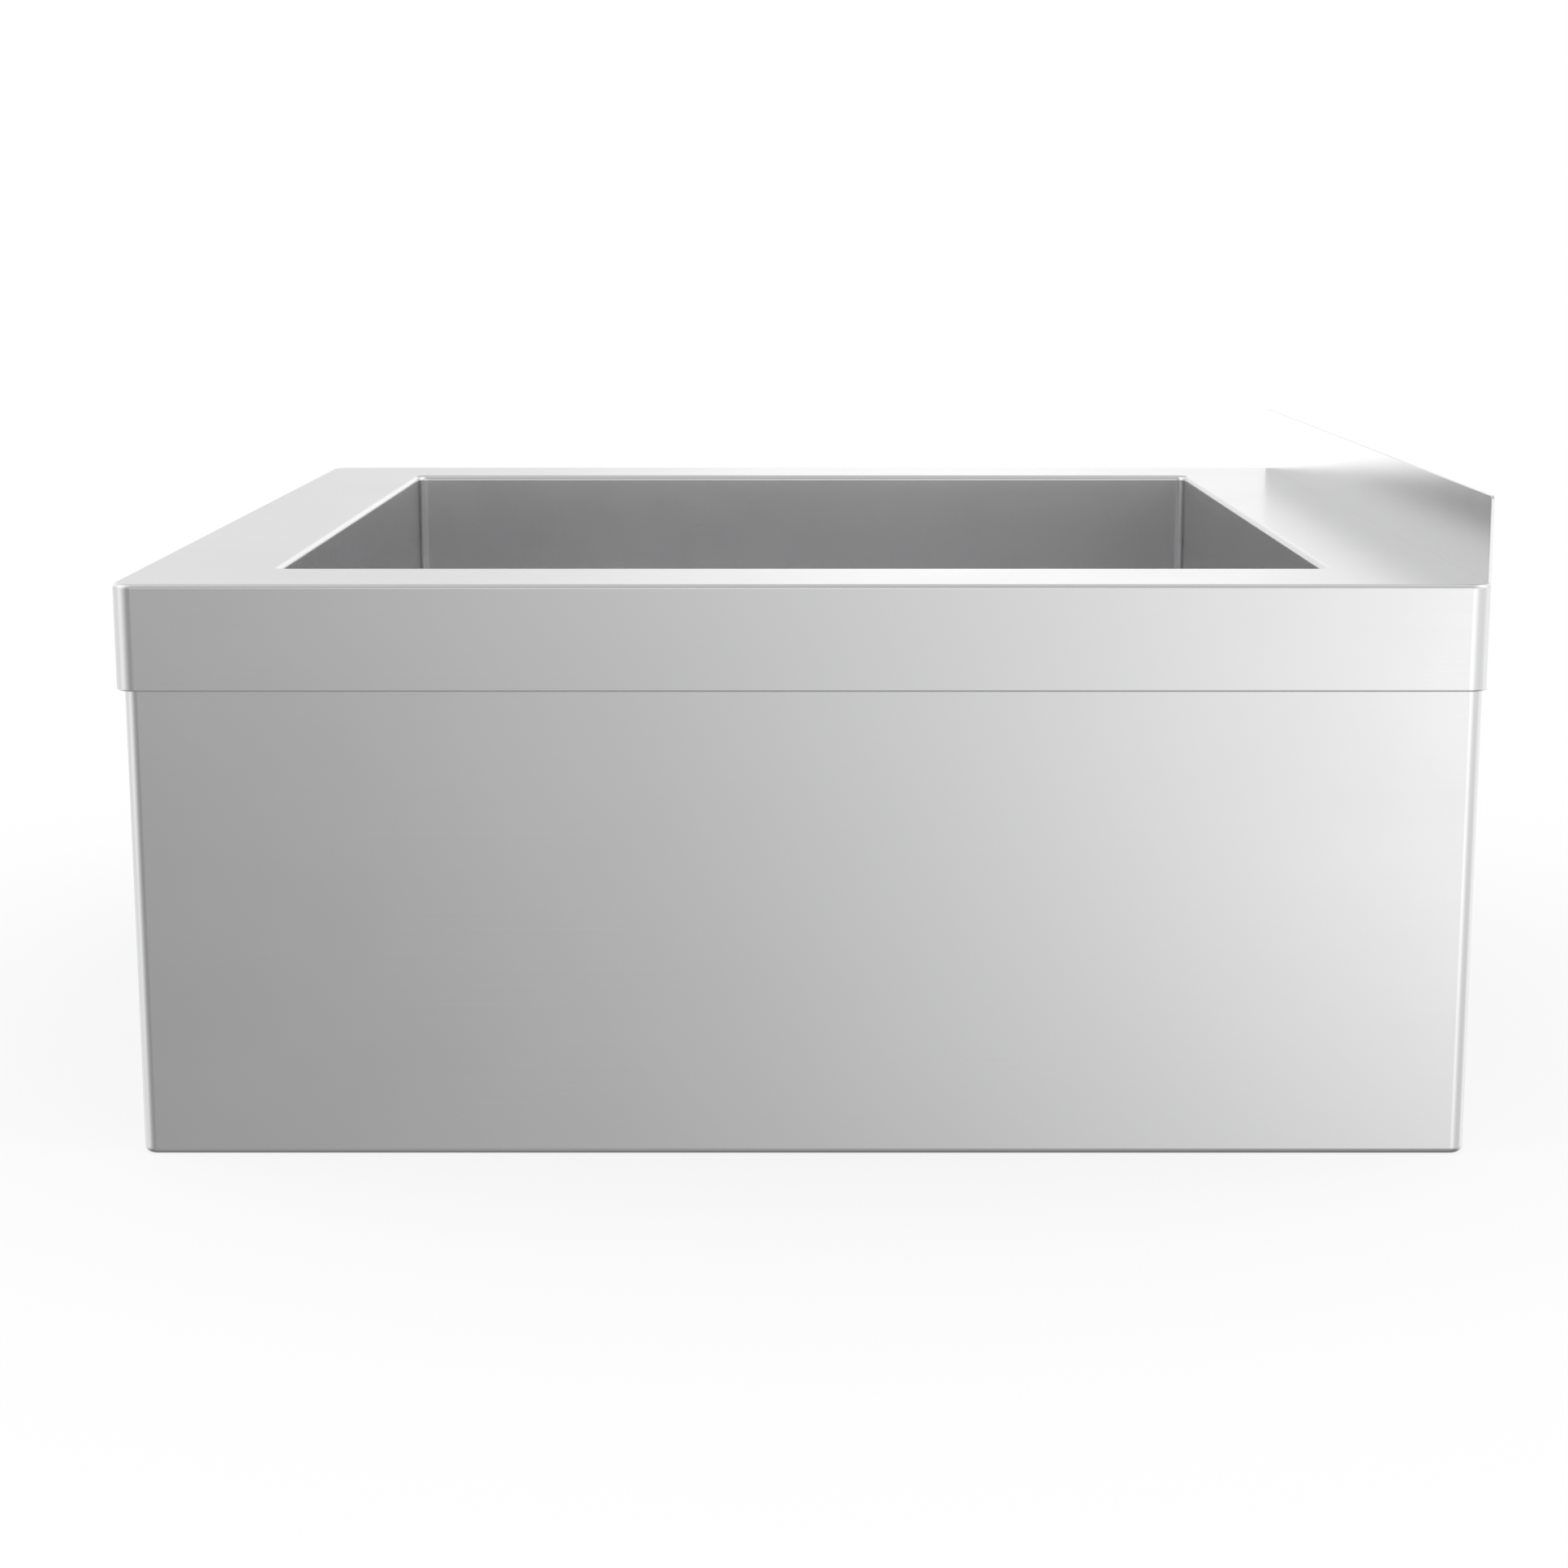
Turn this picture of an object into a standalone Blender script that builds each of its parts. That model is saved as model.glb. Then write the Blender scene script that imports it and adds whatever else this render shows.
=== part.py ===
"""Floor standing stainless steel mop sink with a side splash, a basket strainer and levelling feet.

Metres, +Z up. The origin is on the floor under the middle of the sink, the front faces -Y
and the splash stands on the +X side.
"""

import math

import bmesh
import bpy
from mathutils import Matrix, Vector

# Sheet metal
SHEET = 0.0015
BEND_RADIUS = 0.002
FIT_GAP = 0.0003
CUT_OVERRUN = 0.02

# Top
SINK_WIDTH = 0.6096
SINK_DEPTH = 0.635
DECK_HEIGHT = 0.262
SPLASH_RISE = 0.038
APRON_DROP = 0.0476
RIM_WIDTH = 0.0635
CORNER_RADIUS = 0.010
SPLASH_CORNER = 0.0015
LIP_RADIUS = 0.003
LIP_DROP = 0.012

# Basin
FLOOR_EDGE_HEIGHT = 0.110
BASIN_CORNER = 0.005
COVE_RADIUS = 0.019
FLOOR_FALL = 0.008
RECESS_CLEARANCE = 0.0035
RECESS_STEP = 0.0015
WASTE_HOLE_CLEARANCE = 0.0015

# Casing
CASING_INSET = 0.0035
CASING_CORNER = 0.007
CASING_FOLD_RADIUS = 0.003
CASING_FLANGE = 0.018

# Stiffeners under the rims
STIFFENER_FLANGE = 0.008
STIFFENER_WEB = 0.028
STIFFENER_HEIGHT = 0.020
STIFFENER_END_CLEARANCE = 0.012

# Damping pads under the floor
PAD_THICKNESS = 0.003
PAD_LENGTH = 0.180
PAD_WIDTH = 0.085
PAD_PLACE_SHARE = 0.72

# Strainer body
FLANGE_RADIUS = 0.057
FLANGE_THICKNESS = 0.002
FLANGE_MOUTH_RADIUS = 0.048
CUP_RADIUS = 0.044
CUP_WALL = 0.002
CUP_DEPTH = 0.050
CUP_THREAD_LENGTH = 0.026
CUP_BOTTOM_RADIUS = 0.0385
LEDGE_DEPTH = 0.010
LEDGE_WIDTH = 0.003
SPIGOT_RADIUS = 0.0215
SPIGOT_WALL = 0.004
SPIGOT_LENGTH = 0.016

# Rings and nuts under the basin
GASKET_THICKNESS = 0.003
FRICTION_EDGE = 0.002
FRICTION_THICKNESS = 0.001
LOCK_NUT_WALL = 0.0062
LOCK_NUT_HEIGHT = 0.012
LOCK_LUG_LENGTH = 0.006
LOCK_LUG_WIDTH = 0.010
LOCK_LUG_COUNT = 6
TAIL_WASHER_THICKNESS = 0.002
TAIL_FLANGE_THICKNESS = 0.0015
TAIL_RADIUS = 0.019
TAIL_WALL = 0.0012
TAIL_END_HEIGHT = 0.002
COUPLING_WALL = 0.0042
COUPLING_LIP = 0.002
COUPLING_GRIP = 0.013
COUPLING_LUG_LENGTH = 0.005
COUPLING_LUG_WIDTH = 0.007
COUPLING_LUG_COUNT = 4
LUG_SETBACK = 0.0015

# Basket
BASKET_SHEET = 0.001
BASKET_CLEARANCE = 0.0008
BASKET_RIM_WIDTH = 0.004
BASKET_RIM_RISE = 0.002
BASKET_BOTTOM_RADIUS = 0.0325
BASKET_DEPTH = 0.024
BASKET_SLOT_COUNT = 20
BASKET_SLOT_WIDTH = 0.004
BASKET_SLOT_HEIGHT = 0.010
BASKET_HOLE_RADIUS = 0.002
BASKET_HOLE_ROW_SHARES = ((0.43, 8), (0.72, 14))

# Stopper
POST_RADIUS = 0.004
POST_TIP_RADIUS = 0.0025
POST_BELOW_FLANGE = 0.004
POST_END_LENGTH = 0.004
KNOB_RADIUS = 0.010
KNOB_HEIGHT = 0.008
KNOB_NECK_RADIUS = 0.006
STOPPER_RADIUS = 0.025
STOPPER_THICKNESS = 0.005
STOPPER_TAPER = 0.003
POST_NUT_RADIUS = 0.005
POST_NUT_HEIGHT = 0.003

# Levelling feet
FOOT_INSET = 0.043
GUSSET_SIZE = 0.072
GUSSET_OUTER_CUT = 0.008
GUSSET_INNER_CUT = 0.026
GUSSET_THICKNESS = 0.003
GUSSET_HEIGHT = 0.020
STUD_CLEARANCE = 0.0008
STUD_RADIUS = 0.005
STUD_LENGTH = 0.058
STUD_CHAMFER = 0.001
STUD_HEX_RADIUS = 0.008
STUD_HEX_HEIGHT = 0.005
WELD_NUT_RADIUS = 0.0096
WELD_NUT_HEIGHT = 0.008
FOOT_PAD_RADIUS = 0.020
FOOT_PAD_EDGE = 0.003
FOOT_PAD_HEIGHT = 0.009
FOOT_HUB_RADIUS = 0.009
FOOT_SOCKET_DEPTH = 0.005

# Smoothness of arcs and turned pieces
CORNER_STEPS = 5
SIDE_STEPS = 6
BEND_STEPS = 3
COVE_STEPS = 4
TURNED_STEPS = 36
SMALL_TURNED_STEPS = 24
HOLE_STEPS = 8
HEX_SIDES = 6
SMOOTH_ANGLE = math.radians(35)
MERGE_DISTANCE = 0.00005
SAME_WAY_SHARE = 0.01

# Heights and places that follow from the sizes above
HALF_WIDTH = SINK_WIDTH / 2
HALF_DEPTH = SINK_DEPTH / 2
OUTER_BOX = (-HALF_WIDTH, HALF_WIDTH, -HALF_DEPTH, HALF_DEPTH)
OPENING_BOX = tuple(side - math.copysign(RIM_WIDTH, side) for side in OUTER_BOX)
SPLASH_INNER_X = HALF_WIDTH - SHEET
SPLASH_FRONT_Y = -HALF_DEPTH + CORNER_RADIUS
APRON_LOW = DECK_HEIGHT - APRON_DROP
DECK_UNDERSIDE = DECK_HEIGHT - SHEET
RECESS_HEIGHT = FLOOR_EDGE_HEIGHT - FLOOR_FALL - RECESS_STEP
BASIN_UNDERSIDE = RECESS_HEIGHT - SHEET
CASING_BOX = (
    -HALF_WIDTH + CASING_INSET,
    SPLASH_INNER_X - FIT_GAP,
    -HALF_DEPTH + CASING_INSET,
    HALF_DEPTH - CASING_INSET,
)
FLANGE_UNDERSIDE = RECESS_HEIGHT + FIT_GAP
FLANGE_TOP = FLANGE_UNDERSIDE + FLANGE_THICKNESS
LEDGE_HEIGHT = FLANGE_TOP - LEDGE_DEPTH
LEDGE_RADIUS = CUP_RADIUS - CUP_WALL
CUP_UNDERSIDE = FLANGE_TOP - CUP_DEPTH
CUP_SEAT = CUP_UNDERSIDE + CUP_WALL
SPIGOT_END = CUP_UNDERSIDE - SPIGOT_LENGTH
THROAT_RADIUS = SPIGOT_RADIUS - SPIGOT_WALL
BASKET_RIM_HEIGHT = LEDGE_HEIGHT + FIT_GAP
BASKET_UNDERSIDE = BASKET_RIM_HEIGHT - BASKET_DEPTH
BASKET_RIM_RADIUS = LEDGE_RADIUS - BASKET_CLEARANCE
BASKET_WALL_RADIUS = BASKET_RIM_RADIUS - BASKET_RIM_WIDTH
STOPPER_TOP = BASKET_UNDERSIDE - FIT_GAP
STOPPER_UNDERSIDE = STOPPER_TOP - STOPPER_THICKNESS
STUD_BOTTOM = FOOT_PAD_HEIGHT - FOOT_SOCKET_DEPTH + FIT_GAP
STUD_HEX_BOTTOM = FOOT_PAD_HEIGHT + FIT_GAP

PARTS = "mop_sink"
CUTTERS = "mop_sink_cutters"


def clear_scene():
    for obj in list(bpy.data.objects):
        bpy.data.objects.remove(obj)
    for name in (PARTS, CUTTERS):
        bpy.context.scene.collection.children.link(bpy.data.collections.new(name))


def finish_material(name, colour, metallic, roughness):
    material = bpy.data.materials.new(name)
    material.use_nodes = True
    shader = material.node_tree.nodes["Principled BSDF"]
    shader.inputs["Base Color"].default_value = (*colour, 1.0)
    shader.inputs["Metallic"].default_value = metallic
    shader.inputs["Roughness"].default_value = roughness
    return material


def satin_steel(name):
    return finish_material(name, (0.62, 0.62, 0.62), 1.0, 0.32)


def bright_steel(name):
    return finish_material(name, (0.70, 0.70, 0.71), 1.0, 0.16)


def zinc_casting(name):
    return finish_material(name, (0.45, 0.46, 0.47), 1.0, 0.45)


def black_rubber(name):
    return finish_material(name, (0.03, 0.03, 0.03), 0.0, 0.75)


def red_fibre(name):
    return finish_material(name, (0.32, 0.12, 0.08), 0.0, 0.85)


def grey_damping(name):
    return finish_material(name, (0.16, 0.16, 0.17), 0.0, 0.9)


def black_nylon(name):
    return finish_material(name, (0.05, 0.05, 0.05), 0.0, 0.5)


def add_part(name, data, material, parent=None):
    obj = bpy.data.objects.new(name, data)
    bpy.data.collections[PARTS].objects.link(obj)
    data.materials.append(material(name))
    obj.parent = parent
    return obj


def add_cutter(name, bm, parent=None):
    obj = bpy.data.objects.new(name, mesh_from(name, bm))
    bpy.data.collections[CUTTERS].objects.link(obj)
    obj.hide_render = True
    obj.display_type = "WIRE"
    obj.parent = parent
    return obj


def add_empty(name, place=(0, 0, 0), turn=0.0, parent=None):
    empty = bpy.data.objects.new(name, None)
    bpy.data.collections[PARTS].objects.link(empty)
    empty.location = place
    empty.rotation_euler.z = turn
    empty.parent = parent
    return empty


def mesh_from(name, bm):
    mesh = bpy.data.meshes.new(name)
    bm.to_mesh(mesh)
    bm.free()
    mesh.shade_smooth()
    mesh.set_sharp_from_angle(angle=SMOOTH_ANGLE)
    return mesh


def boolean(obj, cutter, operation="DIFFERENCE"):
    modifier = obj.modifiers.new(cutter.name, "BOOLEAN")
    modifier.operation = operation
    modifier.object = cutter


def sheet_metal(name, bm, grow):
    """A folded sheet from the faces that show. Its thickness grows with their normals or against them."""
    obj = add_part(name, mesh_from(name, bm), satin_steel)
    solidify = obj.modifiers.new("thickness", "SOLIDIFY")
    solidify.thickness = SHEET
    solidify.offset = grow
    solidify.use_even_offset = True
    return obj


def inset(box, distance):
    """A plan box (x low, x high, y low, y high) with each side moved in by a distance."""
    x_low, x_high, y_low, y_high = box
    return (x_low + distance, x_high - distance, y_low + distance, y_high - distance)


def corners_of(box):
    """The plan corners of a box, from the front left one round to the back left one."""
    x_low, x_high, y_low, y_high = box
    places = ((x_low, y_low), (x_high, y_low), (x_high, y_high), (x_low, y_high))
    return [Vector(place) for place in places]


def block(box, low, high):
    """A mesh of the upright block over a plan box."""
    bm = bmesh.new()
    x_low, x_high, y_low, y_high = box
    centre = ((x_low + x_high) / 2, (y_low + y_high) / 2, (low + high) / 2)
    size = (x_high - x_low, y_high - y_low, high - low)
    bmesh.ops.create_cube(bm, size=1, matrix=Matrix.Translation(centre) @ Matrix.Diagonal((*size, 1)))
    return bm


def faces_towards(bm, sense):
    """The level faces that look up or down."""
    bm.normal_update()
    return [face for face in bm.faces if sense * face.normal.z > 1 - SAME_WAY_SHARE]


def open_up(bm, sense):
    bmesh.ops.delete(bm, geom=faces_towards(bm, sense), context="FACES_ONLY")


def round_edges(bm, edges, radius, steps):
    bmesh.ops.bevel(
        bm, geom=edges, offset=radius, segments=steps, profile=0.5, affect="EDGES", clamp_overlap=True
    )


def round_uprights(bm, corners, radius):
    """Rounds the upright edges that stand over the given plan corners."""
    edges = []
    for edge in bm.edges:
        far = [max((vert.co.xy - corner).length for vert in edge.verts) for corner in corners]
        if min(far) < MERGE_DISTANCE:
            edges.append(edge)
    round_edges(bm, edges, radius, CORNER_STEPS)


def round_folds(bm, height, outwards, radius):
    """Rounds the folds at a height between a level face and an upright one that looks out or in."""
    bm.normal_update()
    edges = []
    for edge in bm.edges:
        middle = (edge.verts[0].co + edge.verts[1].co) / 2
        uprights = [face for face in edge.link_faces if abs(face.normal.z) < SAME_WAY_SHARE]
        if abs(middle.z - height) > MERGE_DISTANCE or len(uprights) != 1 or len(edge.link_faces) != 2:
            continue
        if (uprights[0].normal.dot(middle) > 0) == outwards:
            edges.append(edge)
    round_edges(bm, edges, radius, BEND_STEPS)


def turned(name, profile, material, steps=TURNED_STEPS, parent=None, ring=True):
    """A turned solid. Its (radius, height) profile runs down the outer side, and a ring's closes up."""
    mesh = bpy.data.meshes.new(name)
    count = len(profile)
    edges = [(point, (point + 1) % count) for point in range(count if ring else count - 1)]
    mesh.from_pydata([(radius, 0, height) for radius, height in profile], edges, [])
    obj = add_part(name, mesh, material, parent)
    screw = obj.modifiers.new("turn", "SCREW")
    screw.steps = steps
    screw.render_steps = steps
    screw.use_merge_vertices = True
    screw.merge_threshold = MERGE_DISTANCE
    return obj


def flat_outline(name, outlines, thickness, material, parent=None):
    """Flat (across, up) outlines made thickness thick about their plane. Inner outlines are holes."""
    curve = bpy.data.curves.new(name, "CURVE")
    curve.dimensions = "2D"
    curve.fill_mode = "BOTH"
    curve.extrude = thickness / 2
    for outline in outlines:
        spline = curve.splines.new("POLY")
        spline.points.add(len(outline) - 1)
        for point, place in zip(spline.points, outline):
            point.co = (*place, 0, 1)
        spline.use_cyclic_u = True
    return add_part(name, curve, material, parent)


def circle(radius, steps, centre=(0, 0)):
    """Points round a circle, which a few steps make a polygon."""
    turns = [2 * math.pi * step / steps for step in range(steps)]
    return [(centre[0] + radius * math.cos(turn), centre[1] + radius * math.sin(turn)) for turn in turns]


def quarter(centre, radius, start, steps):
    """Points of a quarter circle that turns left from a start angle."""
    turns = [start + 0.5 * math.pi * step / steps for step in range(steps + 1)]
    return [(centre[0] + radius * math.cos(turn), centre[1] + radius * math.sin(turn)) for turn in turns]


def deck_top():
    """The folded top: apron, outer bend, flat rim and the lip that turns down into the basin."""
    bm = block(OUTER_BOX, APRON_LOW, DECK_HEIGHT)
    open_up(bm, -1)
    opening = faces_towards(bm, 1)
    bmesh.ops.inset_region(bm, faces=opening, thickness=RIM_WIDTH, use_even_offset=True)
    edges = list(opening[0].edges)
    bmesh.ops.delete(bm, geom=opening, context="FACES_ONLY")
    lip = bmesh.ops.extrude_edge_only(bm, edges=edges)["geom"]
    lowered = [item for item in lip if isinstance(item, bmesh.types.BMVert)]
    bmesh.ops.translate(bm, verts=lowered, vec=(0, 0, -LIP_DROP))
    front_left, front_right, _, back_left = corners_of(OUTER_BOX)
    round_uprights(bm, (front_left, front_right, back_left), CORNER_RADIUS)
    round_uprights(bm, corners_of(OPENING_BOX), BASIN_CORNER)
    round_folds(bm, DECK_HEIGHT, True, BEND_RADIUS)
    round_folds(bm, DECK_HEIGHT, False, LIP_RADIUS)
    deck = sheet_metal("deck_top", bm, -1)
    seat = (
        SPLASH_INNER_X - FIT_GAP,
        HALF_WIDTH + CUT_OVERRUN,
        SPLASH_FRONT_Y - FIT_GAP,
        HALF_DEPTH + CUT_OVERRUN,
    )
    cutter = block(seat, APRON_LOW - CUT_OVERRUN, DECK_HEIGHT + CUT_OVERRUN)
    boolean(deck, add_cutter("side_splash_seat", cutter))


def side_splash():
    """A flat sheet that closes the right side of the top and stands above it, with eased upper corners."""
    high = DECK_HEIGHT + SPLASH_RISE - SPLASH_CORNER
    outline = [(SPLASH_FRONT_Y, APRON_LOW), (HALF_DEPTH, APRON_LOW)]
    outline += quarter((HALF_DEPTH - SPLASH_CORNER, high), SPLASH_CORNER, 0, BEND_STEPS)
    outline += quarter((SPLASH_FRONT_Y + SPLASH_CORNER, high), SPLASH_CORNER, 0.5 * math.pi, BEND_STEPS)
    panel = flat_outline("side_splash", [outline], SHEET, satin_steel)
    panel.rotation_euler = (math.pi / 2, 0, math.pi / 2)
    panel.location.x = HALF_WIDTH - SHEET / 2


def plan_ring(distance, height):
    """Points round the basin, moved in by a distance. The corners keep the bend of the walls."""
    ring = []
    for index, centre in enumerate(corners_of(inset(OPENING_BOX, distance + BASIN_CORNER))):
        start = math.pi * (1 + index / 2)
        arc = [Vector((*place, height)) for place in quarter(centre, BASIN_CORNER, start, CORNER_STEPS)]
        ring += (along_side(ring[-1], arc[0]) if ring else []) + arc
    return ring + along_side(ring[-1], ring[0])


def along_side(start, end):
    """The points between two corners, which let a straight side run into a round one."""
    return [start.lerp(end, step / SIDE_STEPS) for step in range(1, SIDE_STEPS)]


def floor_height(point):
    """The height of the four planes that fall from the coves to the middle of the floor."""
    _, x_high, _, y_high = inset(OPENING_BOX, COVE_RADIUS)
    out = max(abs(point.x) / x_high, abs(point.y) / y_high)
    return FLOOR_EDGE_HEIGHT - FLOOR_FALL * (1 - out)


def round_ring(radius, height=None):
    """Points round a circle, one for each point of a plan ring, on the floor unless a height is given."""
    count = 4 * (CORNER_STEPS + SIDE_STEPS)
    start = math.pi * (5 / 4 - CORNER_STEPS / count)
    ring = [Vector((radius * math.cos(start), radius * math.sin(start), 0)) for _ in range(count)]
    for index, point in enumerate(ring):
        point.rotate(Matrix.Rotation(2 * math.pi * index / count, 3, "Z"))
        point.z = floor_height(point) if height is None else height
    return ring


def loft(rings):
    """Faces between rings of equal length."""
    bm = bmesh.new()
    loops = [[bm.verts.new(point) for point in ring] for ring in rings]
    for outer, inner in zip(loops, loops[1:]):
        for corners in zip(outer, outer[1:] + outer[:1], inner[1:] + inner[:1], inner):
            bm.faces.new(corners)
    return bm


def basin():
    """The bowl: walls, cove, floor that falls to the middle and the recess round the waste hole."""
    cove_height = FLOOR_EDGE_HEIGHT + COVE_RADIUS
    rings = [plan_ring(0, DECK_HEIGHT - LIP_DROP - FIT_GAP)]
    for along, height in quarter((COVE_RADIUS, cove_height), COVE_RADIUS, math.pi, COVE_STEPS):
        rings.append(plan_ring(along, height))
    recess = FLANGE_RADIUS + RECESS_CLEARANCE
    rings.append(round_ring(recess))
    rings.append(round_ring(recess, RECESS_HEIGHT))
    rings.append(round_ring(CUP_RADIUS + WASTE_HOLE_CLEARANCE, RECESS_HEIGHT))
    sheet_metal("basin", loft(rings), -1)


def outer_casing():
    """The skirt that carries the top, with its lower edge folded in to a flange that stands on the floor."""
    bm = block(CASING_BOX, 0, DECK_UNDERSIDE - FIT_GAP)
    open_up(bm, 1)
    flange = faces_towards(bm, -1)
    bmesh.ops.inset_region(bm, faces=flange, thickness=CASING_FLANGE, use_even_offset=True)
    bmesh.ops.delete(bm, geom=flange, context="FACES_ONLY")
    round_uprights(bm, corners_of(CASING_BOX), CASING_CORNER)
    round_folds(bm, 0, True, CASING_FOLD_RADIUS)
    sheet_metal("outer_casing", bm, -1)


def stiffener_outline():
    """The hat section, with its two flanges up against the underside of the rim."""
    web = STIFFENER_WEB / 2
    edge = web + STIFFENER_FLANGE
    top = DECK_UNDERSIDE - FIT_GAP
    low = top - STIFFENER_HEIGHT
    right = [
        (web, low),
        (web, top - SHEET),
        (edge, top - SHEET),
        (edge, top),
        (web - SHEET, top),
        (web - SHEET, low + SHEET),
    ]
    return right + [(-across, height) for across, height in reversed(right)]


def deck_stiffeners():
    """Hat channels spot welded under the four rims. The side ones run between the other two."""
    _, x_high, _, y_high = inset(OUTER_BOX, RIM_WIDTH / 2)
    reach = STIFFENER_WEB / 2 + STIFFENER_FLANGE + STIFFENER_END_CLEARANCE
    places = (
        ("front", (0, -y_high), x_high - reach, math.pi / 2),
        ("back", (0, y_high), x_high - reach, math.pi / 2),
        ("left", (-x_high, 0), y_high - reach, 0),
        ("right", (x_high, 0), y_high - reach, 0),
    )
    for side, place, half_length, turn in places:
        name = f"deck_stiffener_{side}"
        channel = flat_outline(name, [stiffener_outline()], 2 * half_length, satin_steel)
        channel.rotation_euler = (math.pi / 2, 0, turn)
        channel.location = (*place, 0)


def sound_pads():
    """Flat pads glued under the four falling planes of the floor, each tilted with its plane."""
    _, x_high, _, y_high = inset(OPENING_BOX, COVE_RADIUS)
    half = (-PAD_WIDTH / 2, PAD_WIDTH / 2, -PAD_LENGTH / 2, PAD_LENGTH / 2)
    sides = (("right", x_high), ("back", y_high), ("left", x_high), ("front", y_high))
    for index, (side, reach) in enumerate(sides):
        name = f"sound_pad_{side}"
        spin = add_empty(f"{name}_side", turn=index * math.pi / 2)
        pad = add_part(name, mesh_from(name, block(half, -PAD_THICKNESS, 0)), grey_damping, spin)
        slope = math.atan2(FLOOR_FALL, reach)
        height = FLOOR_EDGE_HEIGHT - FLOOR_FALL * (1 - PAD_PLACE_SHARE)
        pad.location = (PAD_PLACE_SHARE * reach, 0, height - (SHEET + FIT_GAP) / math.cos(slope))
        pad.rotation_euler.y = -slope


def strainer_body():
    """The waste cup: flange, mouth, the ledge the basket sits on, tapering cup, seat and threaded spigot."""
    thread_end = FLANGE_UNDERSIDE - CUP_THREAD_LENGTH
    profile = [
        (FLANGE_MOUTH_RADIUS, FLANGE_TOP),
        (FLANGE_RADIUS - FLANGE_THICKNESS, FLANGE_TOP),
        (FLANGE_RADIUS, FLANGE_TOP - FLANGE_THICKNESS / 2),
        (FLANGE_RADIUS, FLANGE_UNDERSIDE),
        (CUP_RADIUS, FLANGE_UNDERSIDE),
        (CUP_RADIUS, thread_end),
        (CUP_BOTTOM_RADIUS, CUP_UNDERSIDE + CUP_WALL),
        (CUP_BOTTOM_RADIUS - CUP_WALL, CUP_UNDERSIDE),
        (SPIGOT_RADIUS, CUP_UNDERSIDE),
        (SPIGOT_RADIUS, SPIGOT_END),
        (THROAT_RADIUS, SPIGOT_END),
        (THROAT_RADIUS, CUP_SEAT),
        (CUP_BOTTOM_RADIUS - 2 * CUP_WALL, CUP_SEAT),
        (CUP_BOTTOM_RADIUS - CUP_WALL, CUP_SEAT + CUP_WALL),
        (LEDGE_RADIUS - LEDGE_WIDTH, thread_end),
        (LEDGE_RADIUS - LEDGE_WIDTH, LEDGE_HEIGHT),
        (LEDGE_RADIUS, LEDGE_HEIGHT),
        (LEDGE_RADIUS, FLANGE_TOP - LEDGE_DEPTH / 2),
    ]
    turned("strainer_body", profile, bright_steel)


def flat_ring(name, inner, outer, top, thickness, material):
    """A plain ring below a height. It gives back the height under it where the next piece starts."""
    low = top - thickness
    turned(name, [(outer, top), (outer, low), (inner, low), (inner, top)], material)
    return low - FIT_GAP


def lugged_nut(name, profile, bore, radius, lug):
    """A turned nut with square lugs round it. The lug is (count, length, width)."""
    count, length, width = lug
    nut = turned(name, profile, zinc_casting)
    heights = [height for _, height in profile]
    low = min(heights) + LUG_SETBACK
    high = max(heights) - LUG_SETBACK
    start = (bore + radius) / 2
    reach = radius + length
    bm = bmesh.new()
    for index in range(count):
        spin = Matrix.Rotation(2 * math.pi * index / count, 4, "Z")
        centre = Matrix.Translation(((start + reach) / 2, 0, (low + high) / 2))
        size = Matrix.Diagonal((reach - start, width, high - low, 1))
        bmesh.ops.create_cube(bm, size=1, matrix=spin @ centre @ size)
    boolean(nut, add_cutter(f"{name}_lugs", bm), "UNION")


def waste_fittings():
    """Gasket, friction washer and lock nut under the basin, then the washer, tube and nut of the outlet."""
    bore = CUP_RADIUS + FIT_GAP
    top = BASIN_UNDERSIDE - FIT_GAP
    top = flat_ring("strainer_gasket", bore, FLANGE_RADIUS, top, GASKET_THICKNESS, black_rubber)
    edge = FLANGE_RADIUS - FRICTION_EDGE
    top = flat_ring("friction_washer", bore, edge, top, FRICTION_THICKNESS, red_fibre)
    lock_nut(bore, top)
    top = SPIGOT_END - FIT_GAP
    thickness = TAIL_WASHER_THICKNESS
    top = flat_ring("tailpiece_washer", THROAT_RADIUS, SPIGOT_RADIUS, top, thickness, black_rubber)
    tailpiece(top)
    coupling_nut(top - TAIL_FLANGE_THICKNESS - FIT_GAP)


def lock_nut(bore, top):
    low = top - LOCK_NUT_HEIGHT
    radius = bore + LOCK_NUT_WALL
    profile = [(radius, top), (radius, low), (bore, low), (bore, top)]
    lugged_nut("lock_nut", profile, bore, radius, (LOCK_LUG_COUNT, LOCK_LUG_LENGTH, LOCK_LUG_WIDTH))


def tailpiece(flange_top):
    """The waste tube, hung by its flange in the coupling nut."""
    flange_low = flange_top - TAIL_FLANGE_THICKNESS
    bore = TAIL_RADIUS - TAIL_WALL
    profile = [
        (SPIGOT_RADIUS, flange_top),
        (SPIGOT_RADIUS, flange_low),
        (TAIL_RADIUS, flange_low),
        (TAIL_RADIUS, TAIL_END_HEIGHT),
        (bore, TAIL_END_HEIGHT),
        (bore, flange_top),
    ]
    turned("tailpiece", profile, bright_steel)


def coupling_nut(lip_top):
    """The nut of the outlet, with a lip under the tube's flange."""
    low = lip_top - COUPLING_LIP
    high = lip_top + COUPLING_GRIP
    bore = SPIGOT_RADIUS + FIT_GAP
    lip = TAIL_RADIUS + FIT_GAP
    radius = bore + COUPLING_WALL
    profile = [(radius, high), (radius, low), (lip, low), (lip, lip_top), (bore, lip_top), (bore, high)]
    lug = (COUPLING_LUG_COUNT, COUPLING_LUG_LENGTH, COUPLING_LUG_WIDTH)
    lugged_nut("coupling_nut", profile, bore, radius, lug)


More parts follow.
